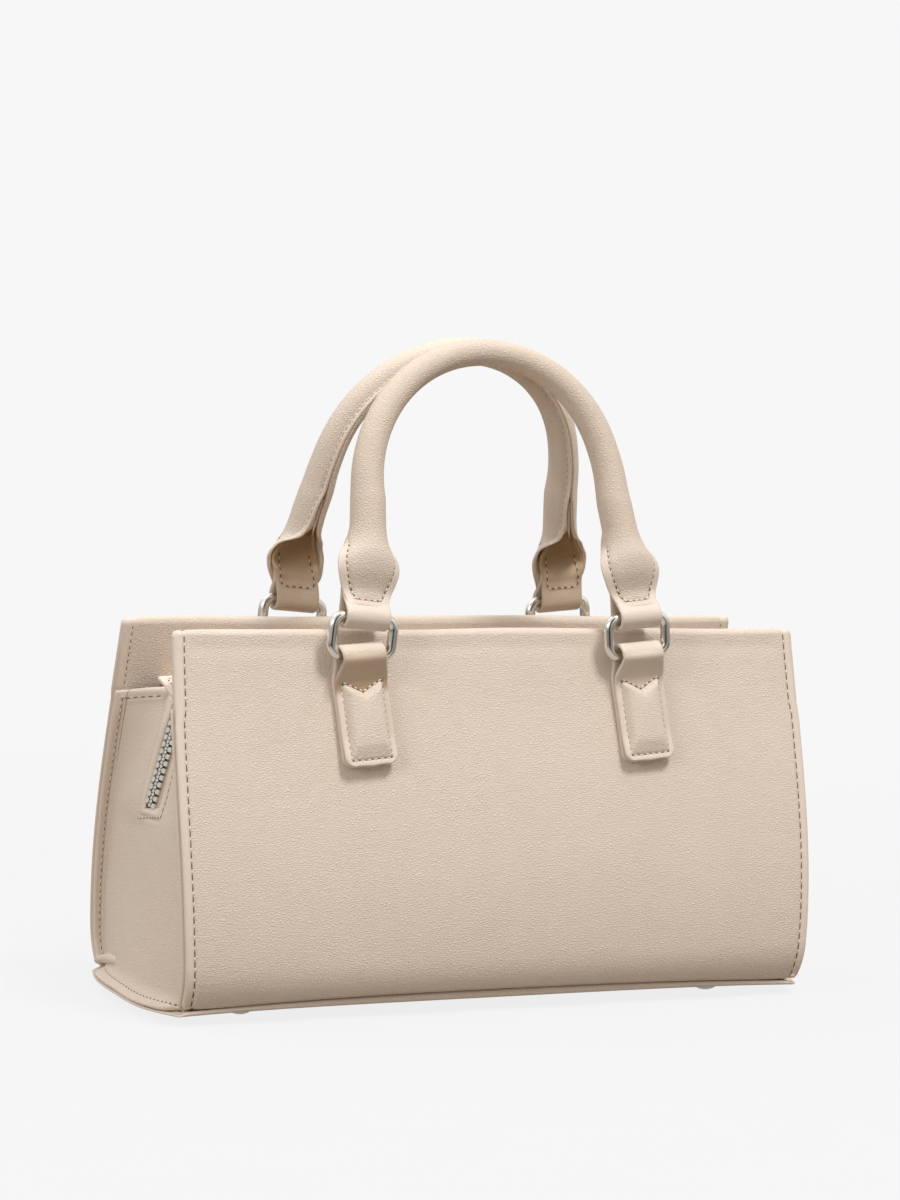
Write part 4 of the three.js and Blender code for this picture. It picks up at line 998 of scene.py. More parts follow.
class TOTE_OT_gussets(bpy.types.Operator):
    """Folded gussets between the panels, with the zip slots and their sewn edges"""
    bl_idname = "tote.gussets"
    bl_label = "Gussets"

    def execute(self, context):
        leather = context.scene.tote_leather
        half = np.concatenate([
            np.linspace(0, C_SLOT, 5), C_SLOT + (C_WEB - C_SLOT) * np.array(
                [0.02, 0.04, 0.06, 0.08, 0.1, 0.12, 0.14, 0.17, 0.2, 0.25, 0.31, 0.38, 0.46, 0.55, 0.64, 0.73, 0.82,
                 0.9, 0.96, 1.0]),
            steps(C_WEB, (C_TURN, 7), (1, 8))[1:]])
        across = np.concatenate([-half[:0:-1], half])
        up = steps(0, (B_FLANGE, 17), (0.55, 26), (B_SLOT, 14), (0.84, 14), (1, 22))
        cell = (across[:-1] + across[1:]) / 2
        level = (up[:-1] + up[1:]) / 2
        keep = ~((np.abs(cell)[:, None] < C_SLOT) & (level[None, :] > B_SLOT))
        c, b = np.meshgrid(across, up, indexing="ij")
        for hand, turn in (("right", Matrix.Identity(4)), ("left", HALF_TURN)):
            middle, outer, edges = gusset_faces(hand == "left")
            slot, top = edges(c, b)
            press = np.maximum(1 - smoothstep(slot, 1.8, 3.4), 1 - smoothstep(top, 1.8, 3.4))
            press = np.maximum(press, 1 - smoothstep(b, B_SEWN, B_SEWN + 0.02))
            press = np.maximum(press, smoothstep(np.abs(c), C_WEB, C_TURN)) * 0.8
            inside = middle(c, b) - normal_of(middle, c, b) * GUSSET_T / 2
            part = shell(outer(c, b), inside, keep, press=press)
            make_piece(f"{hand}_gusset_leather", [place(part, turn)], "Grained leather", "body",
                       (f"{hand}_gusset",))
            beside = C_SLOT + (C_WEB - C_SLOT) * 0.12
            down = B_SLOT - SLOT_SEWN / 62 * B_SLOT
            levels = np.linspace(0.985, down, 60)
            path_c = np.concatenate([np.linspace(-beside, beside, 20)[:-1], np.full(60, beside)])
            path_b = np.concatenate([np.full(19, down), levels[::-1]])
            sew_on("body", outer, path_c, path_b, leather.strap_stitch, turn)
            hem_c, hem_b = np.linspace(C_SLOT + 0.16, C_WEB - 0.02, 40), 1 - SLOT_SEWN / 42 * (1 - B_SLOT)
            fin_b = np.linspace(0.06, 0.97, 160)
            for side in (-1, 1):
                sew_on("body", outer, side * hem_c, hem_b, leather.stitch, turn)
                sew_on("body", outer, side * (C_TURN + 0.02), fin_b, leather.strap_stitch * HIDDEN_STITCH, turn)
            sew_on("body", outer, np.linspace(-0.93, 0.93, 160) * C_WEB, B_SEWN, leather.strap_stitch, turn)
            tacks = []
            for side in (-1, 1):
                at = outer(np.array([side * (C_WEB + 0.04)]), np.array([0.985]))[0]
                for k in range(5):
                    lift = np.array([0.5, 0.0, -0.6 + 0.5 * k])
                    arch = [-1.6, -0.5 * side, 0], [-0.4, 0.2 * side, 0.5], [0.9, 0.5 * side, 0.2]
                    tacks.append(tube([at + lift + bend for bend in arch], 0.28, 6))
            make_piece(f"{hand}_bar_tacks", [place(t, turn) for t in tacks], "Thread", "body")
        return {"FINISHED"}


def base_outline():
    """Plan of the base: straight long sides and bowed ends, with softened corners."""
    t = np.linspace(-1, 1, 121)
    end = np.stack([base_end(BASE_HALF * t), BASE_HALF * t], 1)
    side = np.stack([np.linspace(BASE_CORNER, -BASE_CORNER, 241)[1:-1], np.full(239, BASE_HALF)], 1)
    even = evened(np.concatenate([end, side, -end, -side]), 448)
    soft = sum(np.roll(even, k, axis=0) for k in (-1, 0, 1)) / 3
    along = loop_along(soft)
    return soft, np.stack([along[:, 1], -along[:, 0]], 1)


class TOTE_OT_base(bpy.types.Operator):
    """Base with its sewn lip, the piping tails at its corners, and the feet"""
    bl_idname = "tote.base"
    bl_label = "Base"

    def execute(self, context):
        leather = context.scene.tote_leather
        outline, out = base_outline()
        ended = smoothstep(np.abs(outline[:, 0]), 121.5, 124.2)
        lip = lerp(side_lip(outline[:, 0]), end_lip(outline[:, 1]), ended)
        sag = SAG * bell(np.sign(outline[:, 0]) * outline[:, 1] / BASE_HALF, *SAG_AT)
        edge_z = BASE_Z + lerp(1.4 * bowed(outline[:, 0], 128, 4), 0.2 - sag, ended)
        lip = lip - sag * ended

        def ring(inset, height, narrow=False):
            inset = inset * lerp(0.56, 1.0, ended) if narrow else np.full(len(outline), float(inset))
            flat = outline - out * inset[:, None]
            return stack(flat[:, 0], flat[:, 1], height)

        def under_z(inset):
            return lerp(edge_z, BASE_Z, float(smoothstep(inset, 1.5, 12)))

        def under(inset):
            return ring(inset, under_z(inset))

        def drawn_in(loop, step, height):
            return stack(loop[:, 0] * (1 - step / 125), loop[:, 1] * (1 - step / 43), height)

        inner = np.minimum(5.0, lip)
        board_side = ring(4.5, inner, True)
        middle = drawn_in(board_side, 5, inner)
        rings = [middle * [1, 0.03, 1], middle, board_side, ring(4.3, np.maximum(inner, lip - 0.9), True),
                 ring(3.6, lip - 0.2, True), ring(2.9, lip - 0.1, True), ring(2.3, lip - 0.1, True),
                 ring(1.3, lip, True), ring(0.7, lip - 0.02), ring(0.25, lip - 0.15),
                 ring(0.0, lerp(edge_z, lip, 0.72)), ring(-0.1, lerp(edge_z, lip, 0.5))]
        curl = np.minimum(0.9, (lip - edge_z) * 0.45)
        rings += [ring(0.9 * (1 - math.sin(a)) - 0.1, edge_z + curl * (1 - math.cos(a)))
                  for a in np.radians([80, 60, 40, 20, 5])]
        rings += [under(d) for d in (1.5, 2.6, 3.3)] + [under(BASE_SEWN) + [0, 0, 0.35], under(3.9)]
        rings += [drawn_in(under(3.9), d, under_z(3.9 + d)) for d in (2.1, 5.1, 8.1)]
        rings += [rings[-1] * [1, 1 - t, 1] for t in (0.25, 0.5, 0.75, 0.97)]
        make_piece("base_leather", [loft(rings)], "Grained leather", "body", ("base_panel",))
        sew("body", under(BASE_SEWN) + [0, 0, 0.3], np.tile([0, 0, -1.0], (len(outline), 1)), leather.stitch, True)

        tails = []
        for side in (-1, 1):
            t = np.linspace(0, 1, 13)
            path = side * stack(lerp(122.4, 124.0, t), lerp(-42.6, -18.0, t), 0)
            path[:, 2] = 7.3 + 4.4 * t + 0.6 * np.sin(np.pi * t)
            tails.append(tube(path, lerp(1.5, 2.2, t), 16))
        make_piece("piping_tails", tails, "Strap leather", "body")

        dome = [(0.0, 0.0), (1.2, 0.0), (1.8, 0.03)]
        dome += [(5.0 * math.sin(a), 2.9 * (1 - math.cos(a) / math.cos(0.37))) for a in np.linspace(0.42, 1.52, 10)]
        dome += [(5.0, 2.85), (4.9, 3.0), (4.4, 3.1), (1.3, 3.1), (1.3, 8.2), (1.1, 8.4), (0.0, 8.4)]
        washer = (1.6, 7.7), (1.8, 7.6), (4.2, 7.6), (4.5, 7.8), (4.5, 8.2), (4.2, 8.4), (1.8, 8.4), (1.6, 8.3)
        washer = closed_loft([hoop(r, h, 40) for r, h in washer])
        for face, y in (("front", -FOOT_Y), ("back", FOOT_Y)):
            for hand, x in (("left", -FOOT_X), ("right", FOOT_X)):
                there = Matrix.Translation((x, y, 0))
                make_piece(f"{face}_{hand}_stud", [place(turned(dome), there)], "Polished nickel", "body",
                           (f"{face}_{hand}_foot",), 40)
                make_piece(f"{face}_{hand}_washer_ring", [place(washer, there)], "Zip metal", "body",
                           (f"{face}_{hand}_foot_washer",), 40)
        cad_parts["base_board"].data.materials.clear()
        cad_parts["base_board"].data.materials.append(finish("Fibre board"))
        return {"FINISHED"}


class TOTE_OT_lining(bpy.types.Operator):
    """Cloth pouch inside the bag"""
    bl_idname = "tote.lining"
    bl_label = "Lining"

    def execute(self, context):
        heights = steps(8.9, (20, 7), (108.4, 34))
        tape = 11.6

        def wall(z):
            edge = inside_depth(z) - GUSSET_T
            y = np.linspace(-edge, edge, 41)
            beyond = np.clip(np.abs(y) - tape, 0, None) / (edge - tape)
            x = gusset_x(beyond * edge, np.full(41, z)) - 5.4
            end = np.stack([x, y * (edge + 1.4) / edge], 1)
            run = np.linspace(1, -1, 61)[1:-1]
            side = np.stack([end[-1, 0] * run, np.full(59, end[-1, 1])], 1)
            return np.concatenate([end, side, -end, -side])

        outer, inner = [], []
        for z in heights:
            flat = wall(z)
            along = loop_along(flat)
            inward = np.stack([-along[:, 1], along[:, 0]], 1)
            turn = np.arange(len(flat)) / len(flat) * 2 * np.pi
            crease = 0.5 * (1 + np.sin(9 * turn + z / 13)) * (1 + 0.6 * np.sin(23 * turn - z / 7)) * 0.5
            shallow = smoothstep(z, 9, 30) * (1 - smoothstep(z, 95, 108))
            flat = flat + inward * (0.15 + 1.1 * crease * shallow)[:, None]
            outer.append(stack(*flat.T, z))
            inner.append(stack(*(flat + inward * 0.6).T, max(z, 9.5)))
        skin = np.array(outer + [(outer[-1] + inner[-1]) / 2 + [0, 0, 0.3]] + inner[::-1])
        run = run_of(outer[len(outer) // 2])
        uv = np.stack(np.broadcast_arrays(run[None, :], skin[..., 2]), -1).reshape(-1, 2)
        points, faces, _, _ = loft(skin)
        piece = make_piece("lining_pouch", [(points, faces, None, uv)], "Lining cloth", "body", ("lining",))
        return {"FINISHED"}


def flap_place(face):
    return on_face(face, Matrix.Translation((0, -HINGE_Y, HINGE_Z)) @ Matrix.Rotation(FLAP_SLOPE, 4, "X"))


class TOTE_OT_zip_strips(bpy.types.Operator):
    """Leather strips along the zip, with turned and sewn edges"""
    bl_idname = "tote.zip_strips"
    bl_label = "Zip strips"

    def execute(self, context):
        leather = context.scene.tote_leather
        length = STRIP_END - STRIP_START
        edge, r = STRIP_EDGE - 1.0, STRIP_T / 2
        along = graded([0, 0.5, 1, 1.4, 1.8, 2.2, 2.6, 3, 3.6, 4.4, 6, 9, 14], 60, length, 0.0)
        across = steps(0, (0.7, 12), (1, 16))
        for face, phase in (("front", 0.3), ("back", 1.9)):

            def curl(a, b):
                run = a * length
                return smoothstep(b, 0.1, 1.0) * (1.6 + 0.3 * smoothstep(run, 0, 6) - 1.9 * smoothstep(run, 6, 20))

            def top(a, b):
                a, b = matched(a, b)
                x, y = lerp(STRIP_START, STRIP_END, a), b * edge
                inside = np.minimum(edge - y, np.minimum(x - STRIP_START, STRIP_END - x))
                relief = seam_relief(inside - STRIP_SEWN, 0.35, 0.3, 3.0) - 0.25
                wave = ripple(x, phase, 0.2, 90) * np.sin(np.pi * np.clip(b, 0, 1))
                return stack(x, y, r + relief + wave + curl(a, b))

            def under(a, b):
                point = top(a, b)
                return stack(point[..., 0], point[..., 1], curl(a, b) - r)

            def press(a, b):
                return 1 - smoothstep(np.minimum(edge - b * edge, length * np.minimum(a, 1 - a)), 1.2, 3.0)

            there = flap_place(face)
            part = shell(grid(top, along, across), grid(under, along, across), press=grid(press, along, across))
            make_piece(f"{face}_zip_leather", [place(part, there)], "Grained leather", f"{face}_flap",
                       (f"{face}_zip_strip",))
            side, row = STRIP_SEWN / length, 1 - STRIP_SEWN / edge
            a = np.concatenate([np.full(30, side), np.linspace(side, 1 - side, 300)[1:-1], np.full(30, 1 - side)])
            b = np.concatenate([np.linspace(0.1, row, 30), np.full(298, row), np.linspace(row, 0.1, 30)])
            sew_on(f"{face}_flap", top, a, b, leather.strap_stitch, there)
        return {"FINISHED"}


def slot_place(hand):
    out = SLOT_UP.cross(Vector((0, -1, 0)))
    there = Matrix((
        (SLOT_UP.x, 0, out.x, SLOT_ORIGIN.x), (SLOT_UP.y, -1, out.y, 0), (SLOT_UP.z, 0, out.z, SLOT_ORIGIN.z),
        (0, 0, 0, 1)))
    leaned = Matrix.Translation((0, 0, 2.9)) @ Matrix.Rotation(math.radians(1.1), 4, "Y")
    return there if hand == "right" else HALF_TURN @ there @ leaned @ Matrix.Rotation(SLOT_LEAN, 4, "X")


def slot_half_place(hand, face):
    """Frame of one half of a slot's chain, with its teeth towards +Y."""
    opened = hand == "right"
    turn = (face == "front") == opened
    shift = (1 if turn else -1) * OPEN_SPREAD if opened else 0.0
    there = Matrix.Translation((0, shift, 0)) @ Matrix.Rotation(math.pi if turn else 0, 4, "Z")
    return slot_place(hand) @ there, -1 if turn else 1


def tape_part(start, end, wide=TAPE_WIDE):
    """Ribbon of tape with the corded edge that carries the teeth."""
    y = steps(-wide, (-4, 8), (-1.5, 12))
    x = np.linspace(start, end, max(8, int((end - start) / 3)))
    u, v = np.meshgrid(x, y, indexing="ij")
    thick = 0.35 + 0.75 * bell(v, -2.3, 0.75)
    return shell(stack(u, v, thick), stack(u, v, -thick), uv=np.stack([u, v], -1), rim=3)


def geometry_group(name, lengths, materials):
    """Geometry node tree with its inputs: lengths, given in millimetres, and materials."""
    inputs = [("Geometry", GEOMETRY, None), *((label, NUMBER, default * MM) for label, default in lengths),
              *((label, MATERIAL, None) for label in materials)]
    return new_group(name, inputs, [("Geometry", GEOMETRY)], "GeometryNodeTree")


def joined_xyz(tree, *parts):
    return tree_node(tree, "ShaderNodeCombineXYZ", dict(enumerate(parts))).outputs[0]


def joined_geometry(tree, parts):
    made = tree_node(tree, "GeometryNodeJoinGeometry")
    for part in parts:
        feed(tree, made, {0: part})
    return made.outputs[0]


def own_attribute(tree, name, kind):
    return tree_node(tree, "GeometryNodeInputNamedAttribute", {"Name": name}, data_type=kind).outputs[0]


def set_on_points(tree, points, instance, material, selection=True):
    """Real copies of an instance on points, turned by the points' own along and up directions."""
    axes = dict(enumerate(own_attribute(tree, name, "FLOAT_VECTOR") for name in ("along", "up")))
    turn = tree_node(tree, "FunctionNodeAxesToRotation", axes, primary_axis="X", secondary_axis="Z").outputs[0]
    inputs = {"Points": points, "Instance": instance, "Rotation": turn, "Selection": selection}
    placed = tree_node(tree, "GeometryNodeInstanceOnPoints", inputs).outputs[0]
    realized = tree_node(tree, "GeometryNodeRealizeInstances", {0: placed}).outputs[0]
    return tree_node(tree, "GeometryNodeSetMaterial", {"Geometry": realized, "Material": material}).outputs[0]


def tooth_tree():
    """Geometry nodes that set one tooth on every point of a chain."""
    lengths = ("Head Width", 1.35), ("Stem Width", 0.9), ("Length", 3.3), ("Thickness", 2.8)
    tree, given, result = geometry_group("Zip teeth", lengths, ["Material"])
    length, narrow, thick = given["Length"], given["Stem Width"], given["Thickness"]

    def block(size, back):
        cube = tree_node(tree, "GeometryNodeMeshCube", {"Size": size}).outputs["Mesh"]
        inputs = {"Geometry": cube, "Translation": joined_xyz(tree, times(tree, length, back))}
        return tree_node(tree, "GeometryNodeTransform", inputs).outputs[0]

    head = {"Vertices": 10, "Radius": times(tree, given["Head Width"], 0.5), "Depth": thick}
    head = tree_node(tree, "GeometryNodeMeshCylinder", head).outputs["Mesh"]
    stem = block(joined_xyz(tree, length, narrow, times(tree, thick, 0.86)), -0.5)
    legs = block(joined_xyz(tree, times(tree, length, 0.55), times(tree, narrow, 1.9), thick), -0.72)
    tooth = joined_geometry(tree, (legs, head, stem))
    feed(tree, result, {0: set_on_points(tree, given["Geometry"], tooth, given["Material"])})
    return tree


def point_cloud(name, points, along, up, marks=None):
    mesh = bpy.data.meshes.new(name)
    mesh.from_pydata((np.asarray(points) * MM).tolist(), [], [])
    for label, values in (("along", along), ("up", up)):
        layer = mesh.attributes.new(label, "FLOAT_VECTOR", "POINT")
        layer.data.foreach_set("vector", np.asarray(values, np.float32).ravel())
    if marks is not None:
        layer = mesh.attributes.new("hole", "BOOLEAN", "POINT")
        layer.data.foreach_set("value", np.asarray(marks, bool))
    return add_object(name, mesh)


def grow(piece, tree, values):
    """Runs a node tree on a piece and keeps the result as a plain mesh."""
    modifier = piece.modifiers.new(tree.name, "NODES")
    modifier.node_group = tree
    sockets = {s.name: s.identifier for s in tree.interface.items_tree if s.in_out == "INPUT"}
    for label, value in values.items():
        modifier[sockets[label]] = value
    mesh = evaluated_mesh(piece)
    piece.modifiers.clear()
    piece.data = mesh
    if not mesh.polygons:
        raise RuntimeError(f"{piece.name}: the node tree made nothing")
    smoothed(mesh, 50)
    return piece


class TOTE_OT_zip_chain(bpy.types.Operator):
    """Zip tapes, teeth and stops"""
    bl_idname = "tote.zip_chain"
    bl_label = "Zip chain"

    def execute(self, context):
        zip_ = context.scene.tote_zip
        tree = tooth_tree()
        values = {"Head Width": zip_.tooth, "Material": finish("Zip metal")}

        def row(count, middle, matrix):
            x = (np.arange(count) - (count - 1) / 2) * PITCH + middle
            along, up = (np.tile(np.array(matrix)[:3, k], (count, 1)) for k in (1, 2))
            return moved(stack(x, 0.25, 0), matrix), along, up

        def chain(name, rows, body, nodes):
            points, along, up = (np.concatenate([r[k] for r in rows]) for k in range(3))
            piece = grow(point_cloud(name, points, along, up), tree, values)
            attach(piece, body)
            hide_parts(*nodes)

        for face, count in (("front", 83), ("back", 82)):
            there = flap_place(face) @ Matrix.Translation((0, ZIP_LINE, ZIP_DROP))
            make_piece(f"{face}_zip_ribbon", [place(tape_part(-CHAIN_HALF, CHAIN_HALF), there)], "Zip tape",
                       f"{face}_flap", (f"{face}_zip_tape",))
            chain(f"{face}_zip_chain", [row(count, 0, there)], f"{face}_flap", (f"{face}_zip_teeth",))
        rows, nodes = [], []
        for hand, wide, more in (("left", TAPE_NARROW, 1), ("right", TAPE_WIDE, 0)):
            for face, count in (("front", 16), ("back", 15)):
                there, flip = slot_half_place(hand, face)
                ends = sorted((0.3 * flip, flip * SLOT_LENGTH))
                make_piece(f"{hand}_{face}_slot_ribbon", [place(tape_part(*ends, wide), there)], "Zip tape", "body",
                           (f"{hand}_{face}_slot_tape",))
                rows.append(row(count + more, flip * (22.85 - PITCH / 2 * more), there))
                nodes.append(f"{hand}_{face}_slot_teeth")
        chain("slot_chains", rows, "body", nodes)

        def stop(width):
            return plate(rounded_box(0.05, 2.35, width / 2, 0.5), 3.0, 0.35)

        tucked = slot_place("left") @ Matrix.Translation((-2.4, 0, -1.4))
        make_piece("slot_end_stop", [place(stop(5.6), tucked)], "Zip metal", "body",
                   ("zip_bottom_stop",), 35)
        for face in ("front", "back"):
            there, flip = slot_half_place("right", face)
            shift = Matrix.Translation((0 if flip > 0 else -2.4, -1.4, 0))
            make_piece(f"slot_{face}_top_clip", [place(stop(2.8), there @ shift)], "Zip metal", "body",
                       (f"zip_top_stop_{face}",), 35)
        return {"FINISHED"}


class TOTE_OT_slider(bpy.types.Operator):
    """Zip slider and its pull"""
    bl_idname = "tote.slider"
    bl_label = "Zip slider"

    def execute(self, context):
        metal = "Polished nickel"
        there = slot_place("right") @ Matrix.Translation((SLIDER_AT, 0, 0))
        shield = [(-5, -5.6), (-2.5, -6.1), (0.5, -6.1), (5, -3.9), (5, 3.9), (0.5, 6.1), (-2.5, 6.1), (-5, 5.6)]
        shield = rounded(shield, 0.9)
        parts = [place(plate(shield, 1.0, 0.3), Matrix.Translation((0, 0, z))) for z in (2.3, -2.3)]
        for side in (-1, 1):
            bar = rounded_box(-4.4, 0.4, 0.45, 0.3)
            for z in (1.5, -1.5):
                parts.append(place(plate(bar, 1.2, 0.25), Matrix.Translation((0, side * 5.6, z))))
        post = rounded([(1.6, -0.5), (4.3, -1.1), (4.3, 1.1), (1.6, 0.5)], 0.3)
        parts.append(plate(post, 4.0, 0.2))
        rise = np.array([(-2.75, 2.4), (-2.75, 4.2), (-2.45, 4.8), (-1.8, 5.1), (0, 5.15), (1.8, 5.1), (2.45, 4.8),
                         (2.75, 4.2), (2.75, 2.4)])
        arch = read_at(np.linspace(0, 8, 33), np.arange(9), rise)
        along = unit(np.gradient(arch, axis=0))
        side = np.stack([-along[:, 1], along[:, 0]], 1)
        section = np.array(rounded_box(-1.25, 1.25, 0.5, 0.35, 4))
        rings = [stack(x + dx * section[:, 1], section[:, 0], z + dz * section[:, 1])
                 for (x, z), (dx, dz) in zip(arch, side)]
        parts.append(loft(rings))
        make_piece("zip_runner", [place(p, there) for p in parts], metal, "slider", ("zip_slider",), 40)

        tail = [(-24 + 2.4 * (1 - math.sin(a)), -2.4 * math.cos(a)) for a in np.linspace(0, math.pi, 17)]
        outline = [(0.6, 2.4), (0.4, 2.9), (-0.2, 3.2), (-12, 3.2)] + [(x, -y) for x, y in tail]
        outline += [(-12, -3.2), (-0.2, -3.2), (0.4, -2.9), (0.6, -2.4)]
        eye = rounded_box(-0.6, -4.4, -1.6, 0.5)
        swung = there @ Matrix.Translation((0, 0, 3.7))
        make_piece("zip_puller", [place(plate(outline, 1.2, 0.3, [eye]), swung)], metal, "pull",
                   ("zip_pull",), 40)
        return {"FINISHED"}


def ring_place(face, side):
    there = Matrix.Translation((side * RING_X, -RING_Y, RING_Z))
    return on_face(face, there @ Matrix.Rotation(-side * RING_TILT, 4, "Y"))


def hand_of(face, side):
    return "left" if (side < 0) == (face == "front") else "right"


def corners():
    """Face, side and name of each of the four places where a handle is held."""
    return [(face, side, f"{face}_{hand_of(face, side)}") for face in ("front", "back") for side in (-1, 1)]


class TOTE_OT_rings(bpy.types.Operator):
    """Rounded rectangular rings that join the handles to the tabs"""
    bl_idname = "tote.rings"
    bl_label = "Rings"

    def execute(self, context):
        half, bend = RING_HALF - RING_BEND, RING_BEND
        path = []
        for x, z, start in ((half, bend, -90), (half, RING_SPAN - bend, 0), (-half, RING_SPAN - bend, 90),
                            (-half, bend, 180)):
            for a in np.radians(np.linspace(start, start + 90, 13)):
                path.append((x + bend * math.cos(a), 0, z + bend * math.sin(a)))
        part = tube(evened(np.array(path), 96), WIRE_R, 20, closed=True)
        for face, side, name in corners():
            make_piece(f"{name}_ring_wire", [place(part, ring_place(face, side))], "Polished nickel",
                       f"{name}_link", (f"{name}_ring",))
        return {"FINISHED"}


TAB_TILT = math.radians(-4.5)
TAB_BACK, TAB_NEAR = LOOP_R, 4.25
TAB_FRONT = LOOP_R - LEATHER_T - 1.6 - 2 * GAP
TAB_CORNER = 3.0
TAB_SEW_HALF, TAB_SEW_LOW, TAB_SEW_TOP, TAB_V = 7.55, -36.3, -8.6, 4.2
PAD_HALF, PAD_UP, PAD_T, PAD_Y, PAD_Z = 5.9, 10.4, 1.5, 2.32, -24.25


def tab_place(face, side):
    there = Matrix.Translation((side * RING_X, -RING_Y, RING_Z)) @ Matrix.Rotation(-PANEL_LEAN, 4, "X")
    return on_face(face, there @ Matrix.Rotation(TAB_TILT, 4, "Y"))


def tab_inside(x, up, ease=1.0):
    """Distance inside the tab's stitched patch, below zero outside it. Below 1, ease softens its foot."""
    notch = TAB_SEW_TOP - TAB_V * (1 - np.abs(x) / TAB_SEW_HALF)
    slant = math.cos(math.atan(TAB_V / TAB_SEW_HALF))
    low = up - TAB_SEW_LOW
    low = np.where(low > 0, low * ease, low)
    return np.minimum(np.minimum(TAB_SEW_HALF - np.abs(x), low), (notch - up) * slant)


def tab_rows():
    """Path of the tab's leather up the back, over the bar and down the front."""
    low = -TAB_LENGTH + LEATHER_T / 2
    back = [(TAB_BACK, u) for u in steps(low, (low + 3, 6), (0, 26))]
    bend = np.linspace(0, math.pi, 22)[1:-1]
    over = [(r * math.cos(a), r * math.sin(a)) for r, a in zip(lerp(TAB_BACK, TAB_NEAR, bend / math.pi), bend)]
    down = [(lerp(-TAB_NEAR, TAB_FRONT, 1 - (1 - min(1.0, max(0.0, -u - 1.0) / 9.5)) ** 1.5), u)
            for u in steps(0, (-7, 18), (-15, 34), (low + 4, 30), (low, 16))]
    path = np.array(back + over + down)
    front = np.arange(len(path)) >= len(back) + len(over)
    widened = smoothstep(-path[:, 1], 0.5, 8.0)
    half = lerp(STRAP_HALF, TAB_HALF, widened) - LEATHER_T / 2
    corner = np.clip(TAB_CORNER - (path[:, 1] - low), 0, TAB_CORNER)
    half = half - (TAB_CORNER - np.sqrt(TAB_CORNER ** 2 - corner ** 2))
    return path, front, half


